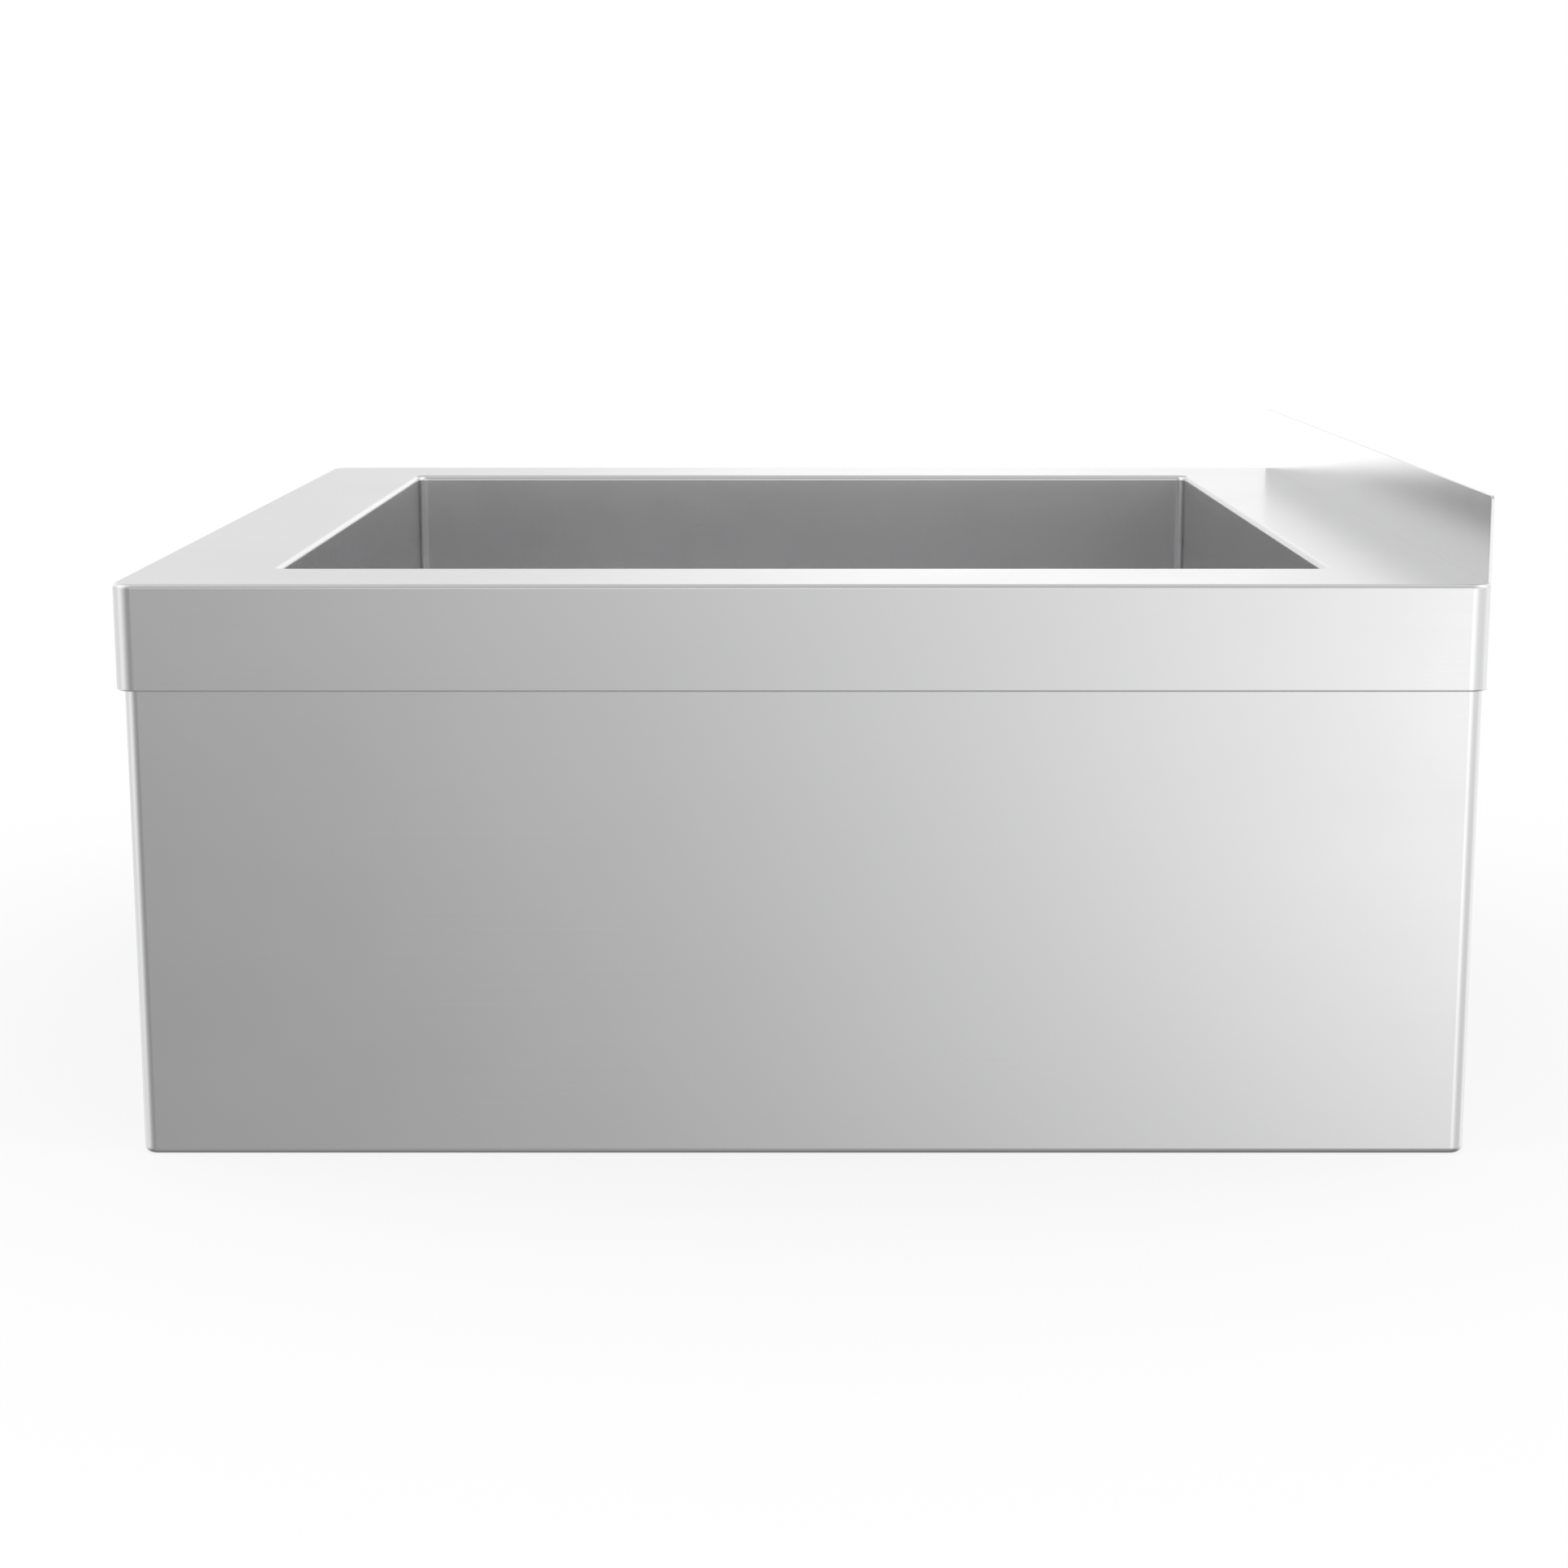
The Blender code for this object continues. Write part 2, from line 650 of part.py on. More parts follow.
def basket_holes():
    """Cutters of the basket: rows of round holes in its bottom, and upright slots round its wall."""
    bm = bmesh.new()
    for share, count in BASKET_HOLE_ROW_SHARES:
        for index in range(count):
            spin = Matrix.Rotation(2 * math.pi * index / count, 4, "Z")
            place = Matrix.Translation((share * BASKET_BOTTOM_RADIUS, 0, BASKET_UNDERSIDE))
            bmesh.ops.create_cone(
                bm, cap_ends=True, segments=HOLE_STEPS, radius1=BASKET_HOLE_RADIUS,
                radius2=BASKET_HOLE_RADIUS, depth=BASKET_DEPTH / 2, matrix=spin @ place,
            )
    middle = BASKET_RIM_HEIGHT - BASKET_DEPTH / 2
    size = Matrix.Diagonal((BASKET_DEPTH / 2, BASKET_SLOT_WIDTH, BASKET_SLOT_HEIGHT, 1))
    for index in range(BASKET_SLOT_COUNT):
        spin = Matrix.Rotation(2 * math.pi * (index + 0.5) / BASKET_SLOT_COUNT, 4, "Z")
        place = Matrix.Translation((BASKET_WALL_RADIUS, 0, middle))
        bmesh.ops.create_cube(bm, size=1, matrix=spin @ place @ size)
    return bm


def strainer_basket(parent):
    """The lift-out basket: turned up rim, tapering wall and a flat bottom with a hub hole for the post."""
    hub = POST_RADIUS + FIT_GAP
    rim = BASKET_RIM_HEIGHT
    low = BASKET_UNDERSIDE
    profile = [
        (BASKET_RIM_RADIUS, rim + BASKET_RIM_RISE),
        (BASKET_RIM_RADIUS, rim),
        (BASKET_WALL_RADIUS, rim),
        (BASKET_BOTTOM_RADIUS, low + BASKET_RIM_RISE),
        (BASKET_BOTTOM_RADIUS - BASKET_RIM_RISE, low),
        (hub, low),
        (hub, low + BASKET_SHEET),
        (BASKET_BOTTOM_RADIUS - BASKET_RIM_RISE, low + BASKET_SHEET),
        (BASKET_BOTTOM_RADIUS - BASKET_SHEET, low + BASKET_RIM_RISE),
        (BASKET_WALL_RADIUS - BASKET_SHEET, rim + BASKET_SHEET),
        (BASKET_RIM_RADIUS - BASKET_SHEET, rim + BASKET_SHEET),
        (BASKET_RIM_RADIUS - BASKET_SHEET, rim + BASKET_RIM_RISE),
    ]
    basket = turned("strainer_basket", profile, bright_steel, 2 * BASKET_SLOT_COUNT, parent)
    boolean(basket, add_cutter("basket_holes", basket_holes()))


def stopper(parent):
    """Knob and post through the basket's hub, with the rubber plug and its nut below."""
    top = FLANGE_TOP - POST_BELOW_FLANGE
    neck = top - KNOB_HEIGHT
    nut_low = STOPPER_UNDERSIDE - FIT_GAP - POST_NUT_HEIGHT
    shoulder = STOPPER_TOP + FIT_GAP / 2
    profile = [
        (0, top),
        (KNOB_RADIUS - STOPPER_TAPER, top),
        (KNOB_RADIUS, top - STOPPER_TAPER / 2),
        (KNOB_RADIUS, top - STOPPER_TAPER),
        (KNOB_NECK_RADIUS, neck),
        (POST_RADIUS, neck),
        (POST_RADIUS, shoulder),
        (POST_TIP_RADIUS, shoulder),
        (POST_TIP_RADIUS, nut_low - POST_END_LENGTH),
        (0, nut_low - POST_END_LENGTH),
    ]
    turned("stopper_post", profile, bright_steel, SMALL_TURNED_STEPS, parent, ring=False)
    bore = POST_TIP_RADIUS + FIT_GAP
    plug = [
        (STOPPER_RADIUS, STOPPER_TOP),
        (STOPPER_RADIUS, STOPPER_UNDERSIDE + STOPPER_TAPER),
        (STOPPER_RADIUS - STOPPER_TAPER, STOPPER_UNDERSIDE),
        (bore, STOPPER_UNDERSIDE),
        (bore, STOPPER_TOP),
    ]
    turned("stopper_washer", plug, black_rubber, parent=parent)
    hexagon = [circle(POST_NUT_RADIUS, HEX_SIDES), circle(bore, SMALL_TURNED_STEPS)]
    nut = flat_outline("post_nut", hexagon, POST_NUT_HEIGHT, bright_steel, parent)
    nut.location.z = nut_low + POST_NUT_HEIGHT / 2


def corner_gusset(name, parent):
    """A plate across the casing's corner, cut off at the bend and at its inner corner, with a hole."""
    size = GUSSET_SIZE
    outline = [
        (GUSSET_OUTER_CUT, 0),
        (size, 0),
        (size, size - GUSSET_INNER_CUT),
        (size - GUSSET_INNER_CUT, size),
        (0, size),
        (0, GUSSET_OUTER_CUT),
    ]
    hole = circle(STUD_RADIUS + STUD_CLEARANCE, SMALL_TURNED_STEPS, (FOOT_INSET, FOOT_INSET))
    plate = flat_outline(name, [outline, hole], GUSSET_THICKNESS, satin_steel, parent)
    plate.location.z = GUSSET_HEIGHT + GUSSET_THICKNESS / 2


def weld_nut(name, parent):
    outlines = [circle(WELD_NUT_RADIUS, HEX_SIDES), circle(STUD_RADIUS + FIT_GAP, SMALL_TURNED_STEPS)]
    nut = flat_outline(name, outlines, WELD_NUT_HEIGHT, satin_steel, parent)
    nut.location.z = GUSSET_HEIGHT + GUSSET_THICKNESS + FIT_GAP + WELD_NUT_HEIGHT / 2


def foot_pad(name, parent):
    """A round foot with a hub and the socket that the stud turns in."""
    socket = STUD_RADIUS + FIT_GAP
    profile = [
        (0, FOOT_PAD_HEIGHT - FOOT_SOCKET_DEPTH),
        (socket, FOOT_PAD_HEIGHT - FOOT_SOCKET_DEPTH),
        (socket, FOOT_PAD_HEIGHT),
        (FOOT_HUB_RADIUS, FOOT_PAD_HEIGHT),
        (FOOT_HUB_RADIUS, (FOOT_PAD_EDGE + FOOT_PAD_HEIGHT) / 2),
        (FOOT_PAD_RADIUS, FOOT_PAD_EDGE),
        (FOOT_PAD_RADIUS, 0),
        (0, 0),
    ]
    turned(name, profile, black_nylon, SMALL_TURNED_STEPS, parent, ring=False)


def foot_stud(name, parent):
    """A levelling bolt with a plain shank in place of its thread. The hexagon below takes the spanner."""
    top = STUD_BOTTOM + STUD_LENGTH
    profile = [
        (0, top),
        (STUD_RADIUS - STUD_CHAMFER, top),
        (STUD_RADIUS, top - STUD_CHAMFER),
        (STUD_RADIUS, STUD_BOTTOM),
        (0, STUD_BOTTOM),
    ]
    stud = turned(name, profile, satin_steel, SMALL_TURNED_STEPS, parent, ring=False)
    bm = bmesh.new()
    centre = Matrix.Translation((0, 0, STUD_HEX_BOTTOM + STUD_HEX_HEIGHT / 2))
    bmesh.ops.create_cone(
        bm, cap_ends=True, segments=HEX_SIDES, radius1=STUD_HEX_RADIUS, radius2=STUD_HEX_RADIUS,
        depth=STUD_HEX_HEIGHT, matrix=centre,
    )
    boolean(stud, add_cutter(f"{name}_hex", bm, parent), "UNION")


def levelling_feet():
    """Gusset, weld nut, stud and pad in each lower corner of the casing, each set turned a quarter more."""
    seats = corners_of(inset(CASING_BOX, SHEET + FIT_GAP))
    names = ("front_left", "front_right", "back_right", "back_left")
    for index, (corner, seat) in enumerate(zip(names, seats)):
        inside = add_empty(f"casing_corner_{corner}", (*seat, 0), index * math.pi / 2)
        corner_gusset(f"corner_gusset_{corner}", inside)
        axis = add_empty(f"foot_axis_{corner}", (FOOT_INSET, FOOT_INSET, 0), parent=inside)
        weld_nut(f"weld_nut_{corner}", axis)
        foot_pad(f"foot_pad_{corner}", axis)
        foot_stud(f"foot_stud_{corner}", axis)


def main():
    clear_scene()
    deck_top()
    side_splash()
    basin()
    outer_casing()
    deck_stiffeners()
    sound_pads()
    strainer_body()
    waste_fittings()
    basket_axis = add_empty("basket_axis")
    strainer_basket(basket_axis)
    stopper(add_empty("stopper_axis", parent=basket_axis))
    levelling_feet()


main()
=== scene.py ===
import math

import bmesh
import bpy
from bpy.props import FloatProperty, FloatVectorProperty, IntProperty, PointerProperty
from mathutils import Matrix, Vector


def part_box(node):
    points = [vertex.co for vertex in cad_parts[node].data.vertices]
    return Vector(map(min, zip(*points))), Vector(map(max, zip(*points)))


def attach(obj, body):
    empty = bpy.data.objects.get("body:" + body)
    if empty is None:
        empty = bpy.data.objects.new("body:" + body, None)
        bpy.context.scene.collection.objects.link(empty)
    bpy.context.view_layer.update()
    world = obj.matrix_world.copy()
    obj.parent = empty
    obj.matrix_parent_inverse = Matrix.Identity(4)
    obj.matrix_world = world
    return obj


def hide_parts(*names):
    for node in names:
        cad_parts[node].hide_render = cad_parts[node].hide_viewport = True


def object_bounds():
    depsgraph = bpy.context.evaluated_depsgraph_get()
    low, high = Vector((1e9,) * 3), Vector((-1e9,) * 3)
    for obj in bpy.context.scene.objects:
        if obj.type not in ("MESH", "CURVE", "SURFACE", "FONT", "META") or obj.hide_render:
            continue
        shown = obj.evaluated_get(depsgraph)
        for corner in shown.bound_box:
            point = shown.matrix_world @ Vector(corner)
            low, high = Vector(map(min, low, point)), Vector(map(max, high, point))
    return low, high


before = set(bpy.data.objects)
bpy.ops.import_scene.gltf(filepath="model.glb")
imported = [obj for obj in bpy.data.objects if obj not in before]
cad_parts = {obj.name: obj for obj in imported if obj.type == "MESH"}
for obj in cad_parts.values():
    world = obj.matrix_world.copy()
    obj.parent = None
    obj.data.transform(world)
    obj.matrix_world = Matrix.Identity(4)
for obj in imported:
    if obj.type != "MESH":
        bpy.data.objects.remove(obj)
cad_low, cad_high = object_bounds()

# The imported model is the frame: the looks below take their places from its boxes. Metres, +Z up, front to -Y.
bl_info = {
    "name": "Mop sink",
    "version": (1, 0, 0),
    "blender": (4, 5, 0),
    "location": "View3D > Sidebar > Mop sink",
    "description": "Folded stainless steel mop sink with a side splash, basket strainer and levelling feet",
    "category": "Object",
}

CORNERS = ("front_left", "front_right", "back_right", "back_left")
SIDES = ("front", "back", "left", "right")
# Steps of arcs, straight sides, the floor, eased corners, turned pieces and holes
ARC_STEPS = 10
SIDE_STEPS = 12
FLOOR_RINGS = 8
EASE_STEPS = 3
TURNED_STEPS = 96
BASKET_STEPS = 120
SMALL_STEPS = 48
HOLE_STEPS = 20
HEX_SIDES = 6
# Edges over these angles are shaded sharp, or broken on a kept node
SHARP_ANGLE = math.radians(32)
BROKEN_ANGLE = math.radians(40)
# Room for rounding, points that are one, the same in a kept node, and how far a cut runs past
TOUCH = 0.00002
MERGE = 0.000002
NODE_MERGE = 0.00001
CUT_OVERRUN = 0.02


def metres(**words):
    return FloatProperty(unit="LENGTH", **words)


def tint(**words):
    return FloatVectorProperty(subtype="COLOR", **words)


class MopSinkSheet(bpy.types.PropertyGroup):
    """Sizes of the folded sheets."""

    thickness: metres(name="Sheet thickness", description="Thickness of every folded sheet", default=0.0015)
    fold: metres(name="Fold radius", description="Outside radius of the top's fold", default=0.002)
    corner: metres(name="Corner radius", description="Upright corners of the top", default=0.010)
    lip: metres(name="Lip radius", description="Radius of the lip down into the bowl", default=0.003)
    lip_drop: metres(name="Lip drop", description="How far the lip reaches down to the bowl", default=0.012)
    bowl_corner: metres(name="Bowl corner radius", description="Upright corners of the bowl", default=0.005)
    cove: metres(name="Cove radius", description="Cove between the bowl's walls and floor", default=0.019)
    floor_fall: metres(name="Floor fall", description="Fall of the floor to its middle", default=0.008)
    recess: metres(name="Recess radius", description="Recess that the strainer sits in", default=0.0605)
    waste_hole: metres(name="Waste hole radius", description="Hole for the strainer", default=0.0455)
    recess_step: metres(name="Recess step", description="Depth of the recess under the floor", default=0.0015)
    casing_corner: metres(name="Casing corner radius", description="Corners of the casing", default=0.007)
    casing_fold: metres(name="Casing fold radius", description="Fold at the foot of the casing", default=0.003)
    casing_flange: metres(name="Casing flange", description="Flange the casing stands on", default=0.018)
    edge: metres(name="Cut edge", description="Easing of the cut edges of the splash", default=0.00025)


class MopSinkWaste(bpy.types.PropertyGroup):
    """Pitches of threads, and counts of holes and spot welds."""

    cup_pitch: metres(name="Cup thread pitch", description="Pitch of the cup's thread", default=0.002)
    stud_pitch: metres(name="Stud thread pitch", description="Pitch of the levelling studs", default=0.0015)
    slots: IntProperty(name="Basket slots", description="Upright slots round the basket", default=20)
    outer_holes: IntProperty(name="Outer holes", description="Outer row of holes in the basket", default=14)
    inner_holes: IntProperty(name="Inner holes", description="Inner row of holes in the basket", default=8)
    welds: IntProperty(name="Spot welds", description="Spot welds along each stiffener flange", default=9)


class MopSinkFinish(bpy.types.PropertyGroup):
    """Colours and sheens of the finishes."""

    satin: tint(name="Satin steel", description="Colour of the sheets", default=(0.66, 0.66, 0.665))
    satin_roughness: FloatProperty(
        name="Satin roughness", description="Roughness of the satin sheets", default=0.25, subtype="FACTOR"
    )
    bright: tint(name="Bright steel", description="Colour of turned pieces", default=(0.70, 0.70, 0.71))
    bright_roughness: FloatProperty(
        name="Bright roughness", description="Roughness of the turned pieces", default=0.15, subtype="FACTOR"
    )
    zinc: tint(name="Zinc plate", description="Colour of the studs", default=(0.55, 0.56, 0.58))
    casting: tint(name="Zinc casting", description="Colour of the cast nuts", default=(0.44, 0.45, 0.46))
    rubber: tint(name="Rubber", description="Colour of the rubber pieces", default=(0.028, 0.028, 0.03))
    fibre: tint(name="Fibre", description="Colour of the friction washer", default=(0.33, 0.13, 0.08))
    damping: tint(name="Damping sheet", description="Colour of sound pads", default=(0.15, 0.15, 0.16))
    nylon: tint(name="Nylon", description="Colour of the feet", default=(0.04, 0.04, 0.042))


class MopSinkStage(bpy.types.PropertyGroup):
    """Floor, light and camera."""

    floor: metres(name="Floor size", description="Side of the floor", default=14.0)
    pale: tint(name="Floor colour", description="Colour of the floor", default=(0.8, 0.8, 0.8))
    lens: FloatProperty(name="Lens", description="Focal length in mm on a 36 mm sensor", default=66.54)
    shift: FloatProperty(name="Shift", description="Sideways shift of the picture", default=-0.01125)
    tilt: FloatProperty(
        name="Tilt", description="Camera from straight down", default=math.radians(79.154), subtype="ANGLE"
    )
    distance: metres(name="Distance", description="Camera in front of the sink's middle", default=1.58269)
    height: metres(name="Height", description="Camera above the floor", default=0.41538)


# Node trees


class Socket:
    """The output of a node. An expression on it adds its Math nodes."""

    def __init__(self, board, socket):
        self.board = board
        self.socket = socket

    def maths(self, operation, first, second=0.0):
        return self.board.node("ShaderNodeMath", {"operation": operation}, {0: first, 1: second})

    def __add__(self, other):
        return self.maths("ADD", self, other)

    def __radd__(self, other):
        return self.maths("ADD", other, self)

    def __sub__(self, other):
        return self.maths("SUBTRACT", self, other)

    def __rsub__(self, other):
        return self.maths("SUBTRACT", other, self)

    def __mul__(self, other):
        return self.maths("MULTIPLY", self, other)

    def __rmul__(self, other):
        return self.maths("MULTIPLY", other, self)

    def __truediv__(self, other):
        return self.maths("DIVIDE", self, other)

    def __rtruediv__(self, other):
        return self.maths("DIVIDE", other, self)

    def __pow__(self, other):
        return self.maths("POWER", self, other)

    def __rpow__(self, other):
        return self.maths("POWER", other, self)

    def __gt__(self, other):
        return self.maths("GREATER_THAN", self, other)

    def __abs__(self):
        return self.maths("ABSOLUTE", self)


class Board:
    """A node tree that nodes are laid out on."""

    def __init__(self, tree):
        self.tree = tree

    def node(self, kind, settings=None, values=None, output=0):
        made = self.tree.nodes.new(kind)
        for name, value in (settings or {}).items():
            setattr(made, name, value)
        self.feed(made, values or {})
        return Socket(self, made.outputs[output] if made.outputs else None)

    def feed(self, node, values):
        for key, value in values.items():
            if isinstance(value, Socket):
                self.tree.links.new(value.socket, node.inputs[key])
            else:
                node.inputs[key].default_value = value


class Finish(Board):
    """A material of one principled shader."""

    def __init__(self, name):
        self.material = bpy.data.materials.new(name)
        self.material.use_nodes = True
        super().__init__(self.material.node_tree)
        self.shader = self.tree.nodes["Principled BSDF"]

    def place(self, *scale):
        """Object coordinates, scaled alike or along each axis."""
        here = self.node("ShaderNodeTexCoord", output="Object")
        return self.node("ShaderNodeMapping", values={"Vector": here, "Scale": scale * (3 // len(scale))})

    def noise(self, *scale, detail=2.0):
        values = {"Vector": self.place(*scale), "Scale": 1.0, "Detail": detail}
        return self.node("ShaderNodeTexNoise", values=values)

    def shade(self, colour, factor):
        """A colour made darker or lighter by a factor that varies over the surface."""
        grey = self.node("ShaderNodeCombineXYZ", values={0: factor, 1: factor, 2: factor})
        settings = {"operation": "MULTIPLY"}
        return self.node("ShaderNodeVectorMath", settings, {0: tuple(colour), 1: grey})

    def mix(self, factor, first, second):
        settings = {"data_type": "RGBA"}
        return self.node("ShaderNodeMix", settings, {0: factor, 6: (*first, 1), 7: (*second, 1)}, output=2)

    def bump(self, height, distance, strength):
        values = {"Height": height, "Distance": distance, "Strength": strength}
        return self.node("ShaderNodeBump", values=values)

    def done(self, values):
        self.feed(self.shader, values)
        return self.material


def settings_of(group):
    return getattr(bpy.context.scene, f"mop_sink_{group}")


def once(make):
    """Makes a finish the first time it is asked for, and gives back the same one after that."""
    slot = make.__name__

    def made():
        if slot not in finishes:
            finishes[slot] = make(Finish(slot.replace("_", " ")), settings_of("finish"))
        return finishes[slot]

    made.slot = slot
    return made


finishes = {}


@once
def satin_steel(finish, look):
    """Sheet with a very fine grain that runs along each face, and faint cloudiness from handling."""
    along_x = finish.noise(4, 1500, 1500)
    along_y = finish.noise(1500, 4, 1500)
    normal = finish.node("ShaderNodeNewGeometry", output="Normal")
    across = finish.node("ShaderNodeSeparateXYZ", values={0: normal}, output="X")
    side = abs(across) > 0.7
    grain = along_x * (1 - side) + along_y * side
    clouds = finish.noise(9, 9, 14, detail=3.0)
    rubbed = finish.noise(40, detail=4.0)
    shade = 0.985 + 0.012 * grain + 0.018 * clouds
    rougher = 0.05 * (grain - 0.5) + 0.06 * (clouds - 0.5) + 0.02 * (rubbed - 0.5)
    return finish.done({
        "Base Color": finish.shade(look.satin, shade),
        "Metallic": 1.0,
        "Roughness": look.satin_roughness + rougher,
        "Normal": finish.bump(grain, 0.000006, 0.5),
    })


@once
def bright_steel(finish, look):
    """Turned and polished steel with fine rings round its axis."""
    here = finish.node("ShaderNodeTexCoord", output="Object")
    flat = finish.node("ShaderNodeVectorMath", {"operation": "MULTIPLY"}, {0: here, 1: (1, 1, 0)})
    radius = finish.node("ShaderNodeVectorMath", {"operation": "LENGTH"}, {0: flat}, output="Value")
    height = finish.node("ShaderNodeSeparateXYZ", values={0: here}, output="Z")
    values = {"W": (radius + height) * 2600, "Scale": 1.0, "Detail": 2.0}
    rings = finish.node("ShaderNodeTexNoise", {"noise_dimensions": "1D"}, values)
    clouds = finish.noise(60, detail=3.0)
    shade = 0.975 + 0.02 * rings + 0.02 * clouds
    return finish.done({
        "Base Color": finish.shade(look.bright, shade),
        "Metallic": 1.0,
        "Roughness": look.bright_roughness + 0.05 * rings + 0.08 * (clouds - 0.4),
        "Normal": finish.bump(rings, 0.000004, 0.5),
    })


@once
def zinc_steel(finish, look):
    """Zinc plated steel, with the faint yellow and blue of its passivation."""
    patches = finish.noise(120, detail=3.0)
    blue = tuple(look.zinc)
    yellow = (look.zinc[0] * 1.05, look.zinc[1] * 1.0, look.zinc[2] * 0.86)
    return finish.done({
        "Base Color": finish.mix(patches, blue, yellow),
        "Metallic": 1.0,
        "Roughness": 0.24 + 0.22 * patches,
        "Normal": finish.bump(finish.noise(900), 0.00001, 0.4),
    })


@once
def zinc_casting(finish, look):
    """Die cast zinc: a dull skin with flow marks and fine pits."""
    flow = finish.noise(70, 70, 150, detail=4.0)
    pits = finish.noise(1100)
    return finish.done({
        "Base Color": finish.shade(look.casting, 0.88 + 0.2 * flow),
        "Metallic": 1.0,
        "Roughness": 0.36 + 0.22 * flow,
        "Normal": finish.bump(pits + flow, 0.00003, 0.5),
    })


@once
def rubber(finish, look):
    """Moulded black rubber with a faint bloom."""
    bloom = finish.noise(90, detail=4.0)
    skin = finish.noise(1600)
    return finish.done({
        "Base Color": finish.shade(look.rubber, 0.7 + 0.8 * bloom),
        "Roughness": 0.62 + 0.2 * bloom,
        "Normal": finish.bump(skin, 0.00002, 0.6),
    })


@once
def fibre(finish, look):
    """Pressed fibre sheet with short threads in it."""
    threads = finish.noise(900, 250, 600, detail=3.0)
    return finish.done({
        "Base Color": finish.shade(look.fibre, 0.6 + 0.8 * threads),
        "Roughness": 0.75 + 0.2 * threads,
        "Normal": finish.bump(threads, 0.00004, 0.7),
    })


@once
def damping(finish, look):
    """Heavy damping sheet with a mottled, slightly pebbled face."""
    mottle = finish.noise(60, detail=5.0)
    values = {"Vector": finish.place(420), "Scale": 1.0}
    pebbles = finish.node("ShaderNodeTexVoronoi", values=values, output="Distance")
    return finish.done({
        "Base Color": finish.shade(look.damping, 0.65 + 0.7 * mottle),
        "Roughness": 0.7 + 0.25 * mottle,
        "Normal": finish.bump(pebbles, 0.00012, 0.6),
    })


@once
def nylon(finish, look):
    """Moulded black nylon with a fine spark eroded skin."""
    skin = finish.noise(1300)
    scuffs = finish.noise(80, 80, 200, detail=4.0)
    return finish.done({
        "Base Color": finish.shade(look.nylon, 0.8 + 0.5 * scuffs),
        "Roughness": 0.42 + 0.25 * scuffs,
        "Normal": finish.bump(skin, 0.00003, 0.5),
    })


# Pieces


def settle(obj, place=None):
    """Makes what an object's modifiers give its plain mesh, moved to its place."""
    graph = bpy.context.evaluated_depsgraph_get()
    mesh = bpy.data.meshes.new_from_object(obj.evaluated_get(graph), depsgraph=graph)
    if place:
        mesh.transform(place)
    rough = obj.data
    obj.modifiers.clear()
    obj.data = mesh
    bpy.data.meshes.remove(rough)
    mesh.name = obj.name
    return obj


def new_object(name, data):
    obj = bpy.data.objects.new(name, data)
    bpy.context.scene.collection.objects.link(obj)
    return obj


def from_bmesh(name, bm):
    mesh = bpy.data.meshes.new(name)
    bm.to_mesh(mesh)
    bm.free()
    return new_object(name, mesh)


def outward(obj):
    """Merges doubled points, closes gaps a cut leaves and turns every face outwards."""
    bm = bmesh.new()
    bm.from_mesh(obj.data)
    bmesh.ops.remove_doubles(bm, verts=bm.verts, dist=MERGE)
    bmesh.ops.holes_fill(bm, edges=[edge for edge in bm.edges if edge.is_boundary], sides=3)
    bmesh.ops.recalc_face_normals(bm, faces=bm.faces)
    bm.to_mesh(obj.data)
    bm.free()
    return obj


def polish(obj):
    """Smooth shading that keeps flat faces flat and breaks at sharp edges."""
    outward(obj)
    obj.data.shade_smooth()
    obj.data.set_sharp_from_angle(angle=SHARP_ANGLE)
    weighted = obj.modifiers.new("flat faces stay flat", "WEIGHTED_NORMAL")
    weighted.keep_sharp = True
    weighted.weight = 100
    settle(obj)


def seat(obj, material, body, *nodes):
    """Polishes a piece and gives it its finish, the nodes it stands for and the body it moves with."""
    polish(obj)
    obj.data.materials.clear()
    obj.data.materials.append(material())
    if nodes:
        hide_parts(*nodes)
    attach(obj, body)


def dress(name, material, edge):
    """Keeps a node of the model, with joined faces, broken edges and its own finish."""
    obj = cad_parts[name]
    if obj.material_slots:
        obj.material_slots[0].material = material()
    else:
        obj.data.materials.append(material())
    weld = obj.modifiers.new("join the faces", "WELD")
    weld.merge_threshold = NODE_MERGE
    bevel = obj.modifiers.new("broken edges", "BEVEL")
    bevel.width = edge
    bevel.segments = 2
    bevel.limit_method = "ANGLE"
    bevel.angle_limit = BROKEN_ANGLE


def cut(obj, cutter, operation="DIFFERENCE"):
    """Cuts a shape away, or joins it on, and drops the cutter."""
    modifier = obj.modifiers.new(cutter.name, "BOOLEAN")
    modifier.operation = operation
    modifier.object = cutter
    settle(obj)
    bpy.data.objects.remove(cutter)
    return obj


def inset(box, distance):
    x_low, x_high, y_low, y_high = box
    return (x_low + distance, x_high - distance, y_low + distance, y_high - distance)


def plan_of(low, high):
    return (low.x, high.x, low.y, high.y)


def arc(centre, radius, start, turn=0.5 * math.pi, steps=ARC_STEPS):
    """Points of an arc that turns left by an angle from its start."""
    turns = [start + turn * step / steps for step in range(steps + 1)]
    return [(centre[0] + radius * math.cos(angle), centre[1] + radius * math.sin(angle)) for angle in turns]


def plan_ring(box, radii, height, side_steps=1):
    """Points round a plan box with rounded corners, from its front left corner."""
    x_low, x_high, y_low, y_high = box
    places = ((x_low, y_low, 1, 1), (x_high, y_low, -1, 1), (x_high, y_high, -1, -1), (x_low, y_high, 1, -1))
    ring = []
    for index, ((x, y, to_x, to_y), radius) in enumerate(zip(places, radii)):
        centre = (x + to_x * radius, y + to_y * radius)
        points = [Vector((*point, height)) for point in arc(centre, radius, math.pi * (1 + index / 2))]
        ring += (along(ring[-1], points[0], side_steps) if ring else []) + points
    return ring + along(ring[-1], ring[0], side_steps)


def along(start, end, steps):
    return [start.lerp(end, step / steps) for step in range(1, steps)]


